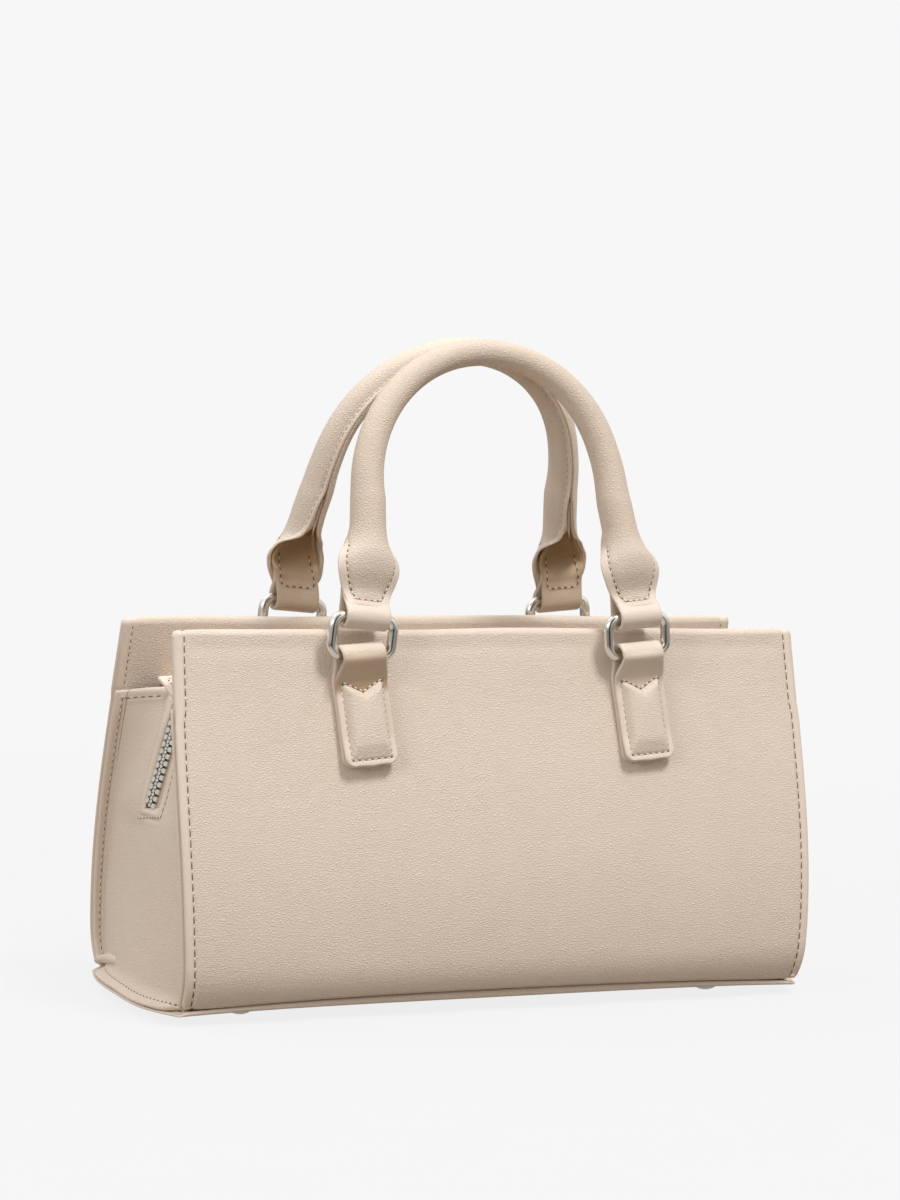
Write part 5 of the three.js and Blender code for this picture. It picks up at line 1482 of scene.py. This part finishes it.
class TOTE_OT_tabs(bpy.types.Operator):
    """Sewn tabs that hold the rings, with their foam fillers"""
    bl_idname = "tote.tabs"
    bl_label = "Tabs"

    def execute(self, context):
        leather = context.scene.tote_leather
        path, front, half = tab_rows()
        across = np.linspace(-1, 1, 61)
        x = across[:, None] * half[None, :]
        out = np.broadcast_to(path[:, 0], x.shape)
        up = np.broadcast_to(path[:, 1], x.shape)
        inside = tab_inside(x, up)
        soft = tab_inside(x, up, 0.42)
        pinch = smoothstep(-soft, -2.4, 0.4) * smoothstep(-up, 1.5, 9.0)
        hollow = 0.4 * bell(inside, 0, 0.6) * smoothstep(-up, 7, 9)
        dome = 1.15 * (1 - np.exp(-np.clip(soft, 0, None) / 2.0))
        neck = 0.5 * (1 - across[:, None] ** 2) * smoothstep(-up, -2, 2) * (1 - smoothstep(-up, 9, 14))
        pinch = pinch * lerp(0.5, 1.0, smoothstep(up, TAB_SEW_LOW, TAB_SEW_LOW + 9))
        shift = np.where(front[None, :], 1.75 * pinch + hollow - dome - neck, 0.0)
        middle = stack(x, out + shift, up)
        normal = unit(np.cross(np.gradient(middle, axis=0), np.gradient(middle, axis=1)))
        # Painted shade on the tab's neck and the V below it, where the strap turns down under the ring and loop
        bent = np.arange(len(path)) > np.nonzero(front)[0][0] - 12
        neck_shade_mask = np.where(bent, smoothstep(-path[:, 1], -3, 1), 0)[None, :] * smoothstep(-inside, -0.4, 0.6)
        neck_shade_mask = neck_shade_mask * np.maximum(smoothstep(up, TAB_SEW_TOP - 5, TAB_SEW_TOP - 2), np.abs(x) < TAB_SEW_HALF - 0.3)
        neck_shade_mask = neck_shade_mask * (1 + 0.6 * smoothstep(-up, 5, 10)) * (up > TAB_SEW_TOP - TAB_V - 1)
        press = np.where(front[None, :], smoothstep(-inside, -1, 1), 0.6)
        u, v = np.meshgrid(np.linspace(-1, 1, 17), np.linspace(-1, 1, 25), indexing="ij")
        crown = PAD_T / 2 * (1 - 0.75 * np.maximum(np.abs(u), np.abs(v)) ** 6)
        pad = shell(*(stack(PAD_HALF * u, PAD_Y + way * crown, PAD_Z + PAD_UP * v) for way in (-1, 1)), rim=3)

        corner = [(-TAB_SEW_HALF, TAB_SEW_TOP), (0, TAB_SEW_TOP - TAB_V), (TAB_SEW_HALF, TAB_SEW_TOP),
                  (TAB_SEW_HALF, TAB_SEW_LOW), (-TAB_SEW_HALF, TAB_SEW_LOW), (-TAB_SEW_HALF, TAB_SEW_TOP)]
        rows = np.nonzero(front)[0]
        way = -np.sign(normal[len(across) // 2, rows[-12], 1])
        skin = np.stack([middle + way * normal * LEATHER_T / 2, way * normal])

        def on_skin(x0, z0):
            row = np.interp(-z0, -path[rows, 1], rows)
            column = np.interp(x0 / np.interp(row, np.arange(len(half)), half), across, np.arange(len(across)))
            i, j = min(int(column), len(across) - 2), min(int(row), len(half) - 2)
            p, q = column - i, row - j
            return (skin[:, i, j] * (1 - p) * (1 - q) + skin[:, i + 1, j] * p * (1 - q)
                    + skin[:, i, j + 1] * (1 - p) * q + skin[:, i + 1, j + 1] * p * q)

        for face, side, name in corners():
            there = tab_place(face, side)
            # The painted shade is strong on the front left tab and faint on the others
            neck_shade = 0.5 if name == "front_left" else 0.12
            part = shell(middle + normal * LEATHER_T / 2, middle - normal * LEATHER_T / 2, press=press,
                         uv=shade_map(neck_shade * neck_shade_mask))
            make_piece(f"{name}_tab_leather", [place(part, there)], "Grained leather", "body",
                       (f"{name}_tab",))
            foam = make_piece(f"{name}_tab_pad", [place(pad, there)], "Foam", "body",
                              (f"{name}_tab_filler",))
            for k, ((x0, z0), (x1, z1)) in enumerate(zip(corner, corner[1:])):
                spots = np.array([on_skin(lerp(x0, x1, t), lerp(z0, z1, t)) for t in np.linspace(0, 1, 30)])
                tops = turned_by(spots[:, 1], there)
                sew("body", moved(spots[:, 0], there) + tops * (0.4 if k < 2 else 0), tops, leather.strap_stitch)
        return {"FINISHED"}


def handle_place(face):
    return on_face(face, Matrix.Translation((0, -RING_Y, HANDLE_Z)) @ Matrix.Rotation(-HANDLE_LEAN, 4, "X"))


def leg_x(up):
    return ARCH_HALF + (HANDLE_X - ARCH_HALF) * (1 - up / LEG_TOP) ** 1.35


def handle_line(start, leg_rows, arch_rows):
    """Middle line of a handle in its own plane: x, height, and direction along it."""
    leg = steps(start, (34, leg_rows), (LEG_TOP, 7))[:-1]
    left = np.stack([-leg_x(leg), leg], 1)
    turn = np.linspace(0, np.pi, arch_rows)
    arch = np.stack([-ARCH_HALF * np.cos(turn), LEG_TOP + ARCH_RISE * np.sin(turn)], 1)
    line = np.concatenate([left, arch, left[::-1] * [-1, 1]])
    return line, unit(np.gradient(line, axis=0))


def strap_front(up):
    """Where the front of the end loop's strap lies, from the bar up into the tongue."""
    return lerp(-STRAP_R, 0.1, smoothstep(up, 0, TONGUE_UP))


FLARE_UP = [3.6, 6.5, 9, 11.5, 15, 17.5, 20, 22, 24.5, 27, 32, 40, 45]
FLARE_FRONT = [0.0, 0.0, 0.03, 0.3, 0.75, 0.95, 1.08, 1.12, 1.1, 1.05, 1.0, 1.0, 1.0]
FLARE_SHARE = {"front": [0.36, 0.43, 0.59, 0.77, 0.95, 1.02, 0.98, 0.84, 0.52, 0.2, 0.02, 0.0, 0.0],
               "back": [0.36, 0.5, 0.7, 0.84, 0.93, 0.9, 0.7, 0.45, 0.18, 0.05, 0.0, 0.0, 0.0]}
FLARE_TURN = {"front": [0.12, 0.16, 0.22, 0.32, 0.5, 0.64, 0.82, 1.0, 1.34, 1.8, 2.55, 2.87, 2.87],
              "back": [0.12, 0.2, 0.32, 0.5, 0.75, 0.92, 1.12, 1.38, 1.9, 2.4, 2.66, 2.74, 2.87]}
FLARE_CLOSED = {"front": (22, 33), "back": (20, 28)}
COVER_START, COVER_SEWN, COVER_SEWN_UP = 3.6, 2.6, 5.6
COVER_STEPS = steps(0, (0.72, 14), (1, 15))


def eased(up, heights, values):
    """Values read between heights, with the corners smoothed."""
    return float(np.mean([np.interp(up + d, heights, values) for d in np.linspace(-1.5, 1.5, 9)]))


HANG = {("front", 1): ([0, 20, 35, 48, 62, 80, 95], [0, 0, -1.2, -2.5, -2.3, -0.8, 0]),
        ("back", 1): ([0, 4, 9, 16, 24, 36, 47, 56], [0, 0.6, 2.2, 3.8, 3.6, 2.6, 0.8, 0]),
        ("back", -1): ([0, 20, 32, 45, 60, 78, 95], [0, 0, -1.3, -2.3, -2.1, -0.8, 0])}


def hung(points, face):
    """Sideways sag of the handles: how far each leg hangs out from, or in from, an even arch."""
    for (which, side), (heights, pushes) in HANG.items():
        if which == face:
            push = sum(np.interp(points[..., 2] + d, heights, pushes) for d in (-3, -1.5, 0, 1.5, 3)) / 5
            points = points + stack(side * push * (side * points[..., 0] > 0), 0, 0)
    return points


def cover_shape(handle, up, face="front"):
    """Radius, lip, half arc length, curvature, middle and thickness of the cover's section."""
    rise = np.clip((up - LEG_TOP + 2) / ARCH_RISE, 0, 1) ** 0.55
    radius = (lerp(handle.leg, handle.crown, rise) / MM - COVER_T) / 2
    half = radius + handle.flare / MM * eased(up, FLARE_UP, FLARE_SHARE[face])
    turn = eased(up, FLARE_UP, FLARE_TURN[face])
    curve = math.sin(min(turn, math.pi / 2)) / half
    thick = lerp(0.2, COVER_T, float(smoothstep(up, 3.5, 9)))
    tongue = strap_front(np.minimum(up, TONGUE_UP)) - STRAP_SKIN - thick / 2
    front = lerp(tongue, -radius, eased(up, FLARE_UP, FLARE_FRONT))
    return radius, float(smoothstep(up, *FLARE_CLOSED[face])), turn / curve, curve, front, thick


def cover_section(handle, up, face):
    """Half section of the cover from its middle to its lip: points, normals, relief, press and thickness."""
    _, lipped, reach, curve, front, thick = cover_shape(handle, up, face)
    turned_in = 1.3 * lipped + 0.02
    turn = reach + np.linspace(0, 1, 6)[1:] * turned_in
    lip = turn[-1] + np.linspace(0, 1, 4)[1:] * (1.5 * lipped + 0.02)
    s = np.concatenate([COVER_STEPS * reach, turn, lip])
    bend = np.clip((s - reach) / turned_in, 0, 1)
    heading = np.minimum(s, reach) * curve - max(0.0, curve * reach - np.pi / 2) * lipped * bend
    step = np.diff(s)
    middle = (heading[1:] + heading[:-1]) / 2
    x = np.concatenate([[0], np.cumsum(np.cos(middle) * step)])
    y = front + np.concatenate([[0], np.cumsum(np.sin(middle) * step)])
    open_ = 1 - smoothstep(up, FLARE_CLOSED[face][0], FLARE_CLOSED[face][1] - 2)
    inside = reach - s
    relief = open_ * smoothstep(up, 6, 8) * (seam_relief(inside - COVER_SEWN, 0.35, 0.5, 2.5) - 0.1)
    if up < 12:
        bottom = seam_relief((up - COVER_SEWN_UP) * np.ones_like(s), 0.35, 0.5, 2.5)
        relief = np.where(inside > COVER_SEWN, np.minimum(relief, bottom), relief) * smoothstep(up, 4, COVER_SEWN_UP)
    normal = np.stack([np.sin(heading), -np.cos(heading)], 1)
    press = open_ * (1 - smoothstep(inside, 1.6, 3.0))
    return np.stack([x, y], 1), normal, relief, press, thick


def cover_grids(handle, face):
    line, along = handle_line(COVER_START, 46, 72)
    outer, inner, press = [], [], []
    for (x0, up), (ax, az) in zip(line, along):
        points, normal, relief, flat, thick = cover_section(handle, up, face)
        halves = []
        for p in (points + normal * (thick / 2 + relief)[:, None], points - normal * thick / 2):
            p = np.concatenate([p[:0:-1] * [-1, 1], p])
            halves.append(stack(x0 + az * p[:, 0], p[:, 1], up - ax * p[:, 0]))
        outer.append(halves[0])
        inner.append(halves[1])
        press.append(np.concatenate([flat[:0:-1], flat]))
    return np.array(outer), np.array(inner), np.array(press), line


TONGUE_CURVE, STRAIGHT = 1 / 40, 1e-4
LEAF_COLUMNS = 33


def leaf_rows(handle, face):
    """Path of the end loop's strap: down the front, round the bar, and up inside the open end."""
    rows = []
    for up in steps(11.5, (4, 14), (0, 8)):
        rows.append((float(strap_front(up)), up, TONGUE_CURVE * float(smoothstep(up, 0, TONGUE_UP)), STRAP_HALF))
    for a in np.linspace(np.pi, 2 * np.pi, 24)[1:-1]:
        rows.append((STRAP_R * math.cos(a), STRAP_R * math.sin(a), STRAIGHT, STRAP_HALF))
    for up in steps(0, (8, 16), (29.0, 44)):
        _, _, reach, curve, front, _ = cover_shape(handle, up, face)
        risen = float(smoothstep(up, 0, TONGUE_UP))
        inside = front + COVER_T / 2 + 1.05
        middle = lerp(lerp(STRAP_R, 1.7, risen), inside, float(smoothstep(up, 9.5, 15)))
        shrink = 1 - curve * 1.75
        bend = lerp(TONGUE_CURVE * risen, curve / shrink, float(smoothstep(up, 9.5, 13)))
        half = lerp(STRAP_HALF, reach * shrink - STRAP_SKIN, float(smoothstep(up, TONGUE_UP, 13)))
        rows.append((middle, up, max(bend, STRAIGHT), min(half, 2.2 / max(bend, STRAIGHT))))
    return rows


def leaf_grid(handle, face):
    rows = leaf_rows(handle, face)
    across = np.linspace(-1, 1, LEAF_COLUMNS)
    middle = []
    for out, up, bend, half in rows:
        s = across * (half - STRAP_SKIN)
        bend = max(bend, STRAIGHT)
        middle.append(stack(np.sin(bend * s) / bend, out + (1 - np.cos(bend * s)) / bend, up))
    return np.array(middle), rows


def eased_path(path, rounds=10):
    """Path with its corners rounded."""
    for _ in range(rounds):
        path = np.concatenate([path[:1], (path[:-2] + 2 * path[1:-1] + path[2:]) / 4, path[-1:]])
    return path


CORD_LAY = 9.0


class TOTE_OT_handles(bpy.types.Operator):
    """Rolled handles with opened ends, their end loops and cord cores"""
    bl_idname = "tote.handles"
    bl_label = "Handles"

    def execute(self, context):
        leather, handle = context.scene.tote_leather, context.scene.tote_handle
        cord_line, cord_along = handle_line(31.0, 4, 60)
        twist = run_of(cord_line) / CORD_LAY * 2 * np.pi
        turn = angles(24)
        rings = []
        for (x0, up), (ax, az), start in zip(cord_line, cord_along, twist):
            radius = cover_shape(handle, up)[0] - COVER_T / 2 - 0.5
            lumpy = radius * (0.9 + 0.1 * np.abs(np.cos(1.5 * (turn + start))))
            side, deep = lumpy * np.cos(turn), lumpy * np.sin(turn)
            rings.append(stack(x0 + az * side, deep, up - ax * side))
        cord = loft(rings)

        for face in ("front", "back"):
            there = handle_place(face)
            body = f"{face}_handle"

            def put(part, matrix=None):
                points = part[0] if matrix is None else moved(part[0], matrix)
                return (moved(hung(points, face), there), *part[1:])

            outer, inner, press, line = cover_grids(handle, face)
            # Painted shade: the front handle's cover darkens from the flared ends up over the arch, and every cover
            # gets painted shade on the inner half of its rims, where the lips meet
            wear_and_shade = 0.15 * (face == "front") * smoothstep(outer[..., 2], 22, 34)
            cover = shell(outer, inner, press=press, uv=shade_map(wear_and_shade), edge_shade=0.6)
            leaf, rows = leaf_grid(handle, face)
            normal = unit(np.cross(np.gradient(leaf, axis=1), np.gradient(leaf, axis=0)))
            row, up = np.arange(len(rows)) - len(rows), np.array([height for _, height, _, _ in rows])
            sunk = np.where(row > -44, 0.5, 0.8)
            # Painted shade inside the open end: half shade where the strap rounds the bar and rises inside, deepening
            # to full shade higher up
            deep = 0.45 * smoothstep(row, -74, -59) + 0.55 * smoothstep(up, 6, 17) * (row > -59)
            sunk, deep = (np.broadcast_to(v[:, None], leaf.shape[:2]) for v in (sunk, deep))
            strap = shell(leaf + normal * STRAP_SKIN, leaf - normal * STRAP_SKIN, uv=shade_map(deep), press=sunk)
            make_piece(f"{face}_handle_leather", [put(cover)], "Grained leather", body,
                       (f"{face}_handle_cover",))
            make_piece(f"{face}_handle_cord", [put(cord)], "Cotton cord", body, (f"{face}_handle_core",))
            for side in (-1, 1):
                name = f"{face}_{hand_of(face, side)}"
                loop = Matrix.Translation((side * HANDLE_X, 0, 0)) @ Matrix.Rotation(-side * RING_TILT, 4, "Y")
                rise = np.linspace(26.0, 41.0, 24)
                grown = smoothstep(rise, 26, 31)
                lips = [tube(stack(side * leg_x(rise) + w * lerp(1.8, 0.6, grown), lerp(4.6, 6.4, grown), rise),
                             0.05 + 0.5 * grown, 8)
                        for w in (-1, 1)]
                make_piece(f"{name}_loop_leather", [put(strap, loop), *map(put, lips)], "Strap leather", body,
                           (f"{name}_handle_loop",))
                self.sew_outside(face, leather, handle, outer, line, there, side)
                self.sew_inside(face, leather, leaf, normal, rows, there, loop)
            self.sew_seam(face, leather, outer, line, there)
        return {"FINISHED"}

    def sew_outside(self, face, leather, handle, outer, line, there, side):
        """U of stitches on the outside of an opened end."""
        top = FLARE_CLOSED[face][0] + 3
        ends = np.nonzero((line[:, 1] > 5.4) & (line[:, 1] < top) & (side * line[:, 0] > 0))[0]
        ends = ends[np.argsort(-line[ends, 1])]
        count = outer.shape[1]
        centre = count // 2
        reach = [cover_shape(handle, up, face)[2] for up in line[ends, 1]]
        column = np.array([np.interp(r - COVER_SEWN, COVER_STEPS * r, np.arange(len(COVER_STEPS))) for r in reach])

        def at(row, col):
            low = int(math.floor(col))
            return outer[row, low] + (outer[row, min(low + 1, count - 1)] - outer[row, low]) * (col - low)

        down = [at(k, centre - c) for k, c in zip(ends, column)]
        foot = [at(ends[-1], c) for c in np.linspace(centre - column[-1], centre + column[-1], 14)[1:-1]]
        up_again = [at(k, centre + c) for k, c in zip(ends[::-1], column[::-1])]
        path = eased_path(np.array(down + foot + up_again))
        away = []
        for p in path:
            near = line[np.argmin(np.linalg.norm(line - p[[0, 2]], axis=1)), 0]
            away.append([(p[0] - near) * 0.5 if p[2] > 12 else 0, -3.0, 0])
        tops = turned_by(unit(np.array(away)), there)
        sew(f"{face}_handle", moved(hung(path, face), there), tops, leather.strap_stitch)

    def sew_inside(self, face, leather, leaf, normal, rows, there, loop):
        """U of stitches on the strap inside an opened end."""
        last = LEAF_COLUMNS - 1
        chosen = [k for k, row in enumerate(rows) if k > 45 and 5.4 < row[1] < 17.0]
        way = -1 if normal[chosen[0], last // 2, 1] < 0 else 1
        inner_face = leaf + way * normal * STRAP_SKIN
        in_from = [last / 2 * (1 - min(0.86, 6.7 / (rows[k][3] - STRAP_SKIN))) for k in chosen]

        def on_leaf(k, c):
            i = min(int(c), last - 1)
            return lerp(inner_face[k, i], inner_face[k, i + 1], c - i)

        left = [on_leaf(k, c) for k, c in zip(chosen[::-1], in_from[::-1])]
        low = [on_leaf(chosen[0], c) for c in np.linspace(in_from[0], last - in_from[0], 25)[1:-1]]
        right = [on_leaf(k, last - c) for k, c in zip(chosen, in_from)]
        path = eased_path(np.array(left + low + right), 16) + [0, 0.25, 0]
        tops = turned_by(np.tile([0, 1.0, 0], (len(path), 1)), there @ loop)
        sew(f"{face}_handle", moved(hung(moved(path, loop), face), there), tops, leather.strap_stitch * INSIDE_STITCH)

    def sew_seam(self, face, leather, outer, line, there):
        """Stitches along both lips of the rolled seam."""
        rows = np.nonzero(line[:, 1] > 31)[0]
        for column, way in ((2, -1.0), (outer.shape[1] - 3, 1.0)):
            path = outer[rows, column]
            middle = np.stack([line[rows, 0], 0 * rows, line[rows, 1]], 1)
            flow = unit(np.gradient(middle, axis=0))
            tops = way * np.stack([flow[:, 2], 0 * flow[:, 0], -flow[:, 0]], 1)
            sew(f"{face}_handle", moved(hung(path, face), there), turned_by(tops, there),
                leather.strap_stitch * SEAM_STITCH)


def stitch_tree():
    """Geometry nodes that lay a thread on every stitch and a dark slit between the threads."""
    lengths = ("Length", 2.4), ("Thread", 0.7), ("Slit Length", 1.0), ("Slit Width", 0.5)
    tree, given, result = geometry_group("Stitches", lengths, ("Thread Material", "Hole Material"))
    hole = own_attribute(tree, "hole", "BOOLEAN")
    plain = tree_node(tree, "FunctionNodeBooleanMath", {0: hole}, operation="NOT").outputs[0]

    def bead(length, width, flatness, material, chosen):
        ball = tree_node(tree, "GeometryNodeMeshUVSphere", {"Segments": 8, "Rings": 5, "Radius": 0.5})
        size = joined_xyz(tree, length, width, times(tree, width, flatness))
        shaped = tree_node(tree, "GeometryNodeTransform", {"Geometry": ball.outputs["Mesh"], "Scale": size})
        return set_on_points(tree, given["Geometry"], shaped.outputs[0], material, chosen)

    thread = bead(given["Length"], given["Thread"], 0.8, given["Thread Material"], plain)
    # The dark slit at each needle hole stands partly for the hole and partly for painted shade in it
    dent = bead(given["Slit Length"], given["Slit Width"], 0.6, given["Hole Material"], hole)
    feed(tree, result, {0: joined_geometry(tree, (dent, thread))})
    return tree


# Thread, dash, slit length and slit width of a stitch, for its length in strap stitches
LONG_STITCH = 1.0, 0.4, 0.68, 0.75
STITCH_STYLES = {1.0: (1.0, 0.62, 0.48, 0.85), SEAM_STITCH: (0.8, 0.62, 0.48, 0.25),
                 HIDDEN_STITCH: (0.8, 0.62, 0.48, 0.45), INSIDE_STITCH: (0.35, 0.5, 0.55, 0.8)}
THREAD_LIFT, SLIT_LIFT = 0.14, 0.07


class TOTE_OT_stitching(bpy.types.Operator):
    """All seams: a thread on every stitch and a needle hole between them, one piece for each body"""
    bl_idname = "tote.stitching"
    bl_label = "Stitching"

    def execute(self, context):
        leather = context.scene.tote_leather
        tree = stitch_tree()
        for body, lines in sorted(stitch_lines.items()):
            for pitch in sorted({line[2] for line in lines}):
                points, along, up, marks = [], [], [], []
                for path, normals, own_pitch, closed in lines:
                    if own_pitch != pitch:
                        continue
                    if closed:
                        path, normals = (np.concatenate([v, v[:1]]) for v in (path, normals))
                    run = run_of(path)
                    count = max(1, round(run[-1] / (pitch / MM)))
                    for marked, at, lift in ((False, (np.arange(count) + 0.5) / count, THREAD_LIFT),
                                             (True, np.arange(count + 1) / count, SLIT_LIFT)):
                        here = at * run[-1]
                        normal = unit(read_at(here, run, normals))
                        points.append(read_at(here, run, path) + normal * lift)
                        along.append(unit(read_at(here + 0.3, run, path) - read_at(here - 0.3, run, path)))
                        up.append(normal)
                        marks.append(np.full(len(at), marked))
                label = f"{body}_stitches_{round(pitch / MM * 10)}"
                piece = point_cloud(label, *(np.concatenate(v) for v in (points, along, up, marks)))
                thread, dash, slit, width = STITCH_STYLES.get(round(pitch / leather.strap_stitch, 2), LONG_STITCH)
                values = {"Length": pitch * dash, "Thread": leather.thread * thread, "Slit Length": pitch * slit,
                          "Slit Width": leather.thread * width,
                          "Thread Material": finish("Thread"), "Hole Material": finish("Needle hole")}
                grow(piece, tree, values)
                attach(piece, body)
        return {"FINISHED"}


class TOTE_OT_stage(bpy.types.Operator):
    """Pale floor, soft studio light and the camera"""
    bl_idname = "tote.stage"
    bl_label = "Stage"

    def execute(self, context):
        stage = context.scene.tote_stage
        scene = context.scene
        self.floor(stage)
        self.world(scene, stage)
        self.lights()
        self.camera(scene, stage)
        scene.view_settings.view_transform = "Standard"
        scene.view_settings.look = "None"
        return {"FINISHED"}

    def floor(self, stage):
        mesh = bpy.data.meshes.new("floor")
        points, faces, _, _ = loft([hoop(r, FLOOR_Z, FLOOR_SIDES) for r in (0.1, 0.25, 0.5, 0.9)], cap=False)
        faces = [face[::-1] for face in faces]
        faces += [[len(points), k, (k + 1) % FLOOR_SIDES] for k in range(FLOOR_SIDES)]
        mesh.from_pydata([*points.tolist(), (0, 0, FLOOR_Z)], [], faces)
        material = bpy.data.materials.new("Pale floor")
        tree = cleared_tree(material)
        vector = own_vector(tree)
        distance = tree_node(tree, "ShaderNodeVectorMath", {0: vector}, operation="LENGTH").outputs["Value"]
        fade = ranged(tree, distance, 0.22, 0.75)
        paper = noise_at(tree, vector, 30.0, 3.0)
        tone = mixed(tree, paper, shade(stage.background, 0.992), shade(stage.background, 1.0))
        ray = tree_node(tree, "ShaderNodeLightPath").outputs
        seen, mirrored = ray["Is Camera Ray"], ray["Is Glossy Ray"]
        dulled = mixed(tree, seen, (0.3, 0.26, 0.215, 1.0), shade(stage.background, 0.65))
        diffuse = tree_node(tree, "ShaderNodeBsdfDiffuse", {"Color": dulled}).outputs[0]
        glow = tree_node(tree, "ShaderNodeEmission", {"Color": tone, "Strength": 1.0}).outputs[0]
        glowing = maths(tree, "MAXIMUM", times(tree, seen, 0.9), times(tree, mirrored, 0.35))
        lit = tree_node(tree, "ShaderNodeMixShader", {0: glowing, 1: diffuse, 2: glow}).outputs[0]
        clear = tree_node(tree, "ShaderNodeBsdfTransparent").outputs[0]
        under = tree_node(tree, "ShaderNodeNewGeometry").outputs["Backfacing"]
        hide = maths(tree, "MAXIMUM", under, fade)
        surface = tree_node(tree, "ShaderNodeMixShader", {0: hide, 1: lit, 2: clear}).outputs[0]
        tree_node(tree, "ShaderNodeOutputMaterial", {"Surface": surface})
        mesh.materials.append(material)
        floor = add_object("floor", mesh)

    def world(self, scene, stage):
        world = bpy.data.worlds.new("Studio")
        tree = cleared_tree(world)
        direction = tree_node(tree, "ShaderNodeTexCoord").outputs["Generated"]
        parts = tree_node(tree, "ShaderNodeSeparateXYZ", {0: direction}).outputs
        height = parts["Z"]
        path = tree_node(tree, "ShaderNodeLightPath").outputs
        sky = mixed(tree, ranged(tree, height, -0.3, 0.7), (0.19, 0.16, 0.13, 1.0), (0.66, 0.66, 0.665, 1.0))
        bright = mixed(tree, ranged(tree, height, -0.3, 0.45), (0.14, 0.125, 0.105, 1.0), (1.0, 0.99, 0.97, 1.0))
        streak = ranged(tree, maths(tree, "ABSOLUTE", maths(tree, "ADD", parts["X"], 0.25)), 0.14, 0.42, 0.12, 1.0)
        ahead = ranged(tree, parts["Y"], -0.75, -0.3, 1.0, 0.0)
        dimmed = times(tree, ahead, maths(tree, "SUBTRACT", 1.0, streak))
        bright = scaled(tree, bright, maths(tree, "SUBTRACT", 1.0, dimmed))
        shown = mixed(tree, path["Is Glossy Ray"], sky, bright)
        colour = mixed(tree, path["Is Camera Ray"], shown, (*stage.background, 1.0))
        light = tree_node(tree, "ShaderNodeBackground", {"Color": colour, "Strength": 1.0}).outputs[0]
        tree_node(tree, "ShaderNodeOutputWorld", {"Surface": light})
        scene.world = world

    def lights(self):
        for name, at, target, size, power in (
                ("key", (0.35, -0.78, 1.8), (0, 0, 0.1), 0.5, 26.0),
                ("fill", (-1.75, -0.75, 0.9), (0, 0, 0.08), 0.7, 10.5),
                ("top", (-0.7, 0.8, 1.6), (0, 0, 0.12), 0.8, 8.0)):
            data = bpy.data.lights.new(name, "AREA")
            data.shape = "DISK"
            data.size = size
            data.energy = power
            light = add_object(name, data)
            light.location = at
            light.rotation_euler = (Vector(target) - Vector(at)).to_track_quat("-Z", "Y").to_euler()

    def camera(self, scene, stage):
        az, el, roll = stage.azimuth, stage.elevation, stage.roll
        back = Vector((math.sin(az) * math.cos(el), -math.cos(az) * math.cos(el), math.sin(el)))
        right = Vector((math.cos(az), math.sin(az), 0))
        up = back.cross(right)
        rolled_right = right * math.cos(roll) + up * math.sin(roll)
        rolled_up = up * math.cos(roll) - right * math.sin(roll)
        data = bpy.data.cameras.new("camera")
        data.lens = stage.lens
        data.sensor_width = 36.0
        data.shift_x, data.shift_y = CAMERA_SHIFT
        camera = add_object("camera", data)
        turn = Matrix((rolled_right, rolled_up, back)).transposed().to_4x4()
        camera.matrix_world = Matrix.Translation(CAMERA_AIM + back * stage.distance) @ turn
        scene.camera = camera


class TOTE_PT_bag(bpy.types.Panel):
    """Pieces of the tote bag"""
    bl_idname = "TOTE_PT_bag"
    bl_label = "Tote bag"
    bl_space_type = "VIEW_3D"
    bl_region_type = "UI"
    bl_category = "Tote"

    def draw(self, context):
        for operator in OPERATORS:
            self.layout.operator(operator.bl_idname)
        for group in GROUPS:
            settings = getattr(context.scene, group)
            column = self.layout.column()
            column.label(text=settings.bl_rna.description)
            for key in settings.__annotations__:
                column.prop(settings, key)


GROUPS = {"tote_leather": ToteLeather, "tote_handle": ToteHandle, "tote_metal": ToteMetal, "tote_zip": ToteZip,
          "tote_stage": ToteStage}
OPERATORS = (TOTE_OT_panels, TOTE_OT_gussets, TOTE_OT_base, TOTE_OT_lining, TOTE_OT_zip_strips, TOTE_OT_zip_chain,
             TOTE_OT_slider, TOTE_OT_rings, TOTE_OT_tabs, TOTE_OT_handles, TOTE_OT_stitching, TOTE_OT_stage)


def register():
    for cls in (*GROUPS.values(), *OPERATORS, TOTE_PT_bag):
        bpy.utils.register_class(cls)
    for key, group in GROUPS.items():
        setattr(bpy.types.Scene, key, PointerProperty(type=group))


def unregister():
    for key in GROUPS:
        delattr(bpy.types.Scene, key)
    for cls in (TOTE_PT_bag, *OPERATORS[::-1], *GROUPS.values()):
        bpy.utils.unregister_class(cls)


def main():
    register()
    make_materials(bpy.context.scene)
    for operator in OPERATORS:
        family, name = operator.bl_idname.split(".")
        getattr(getattr(bpy.ops, family), name)()


if __name__ == "__main__":
    main()
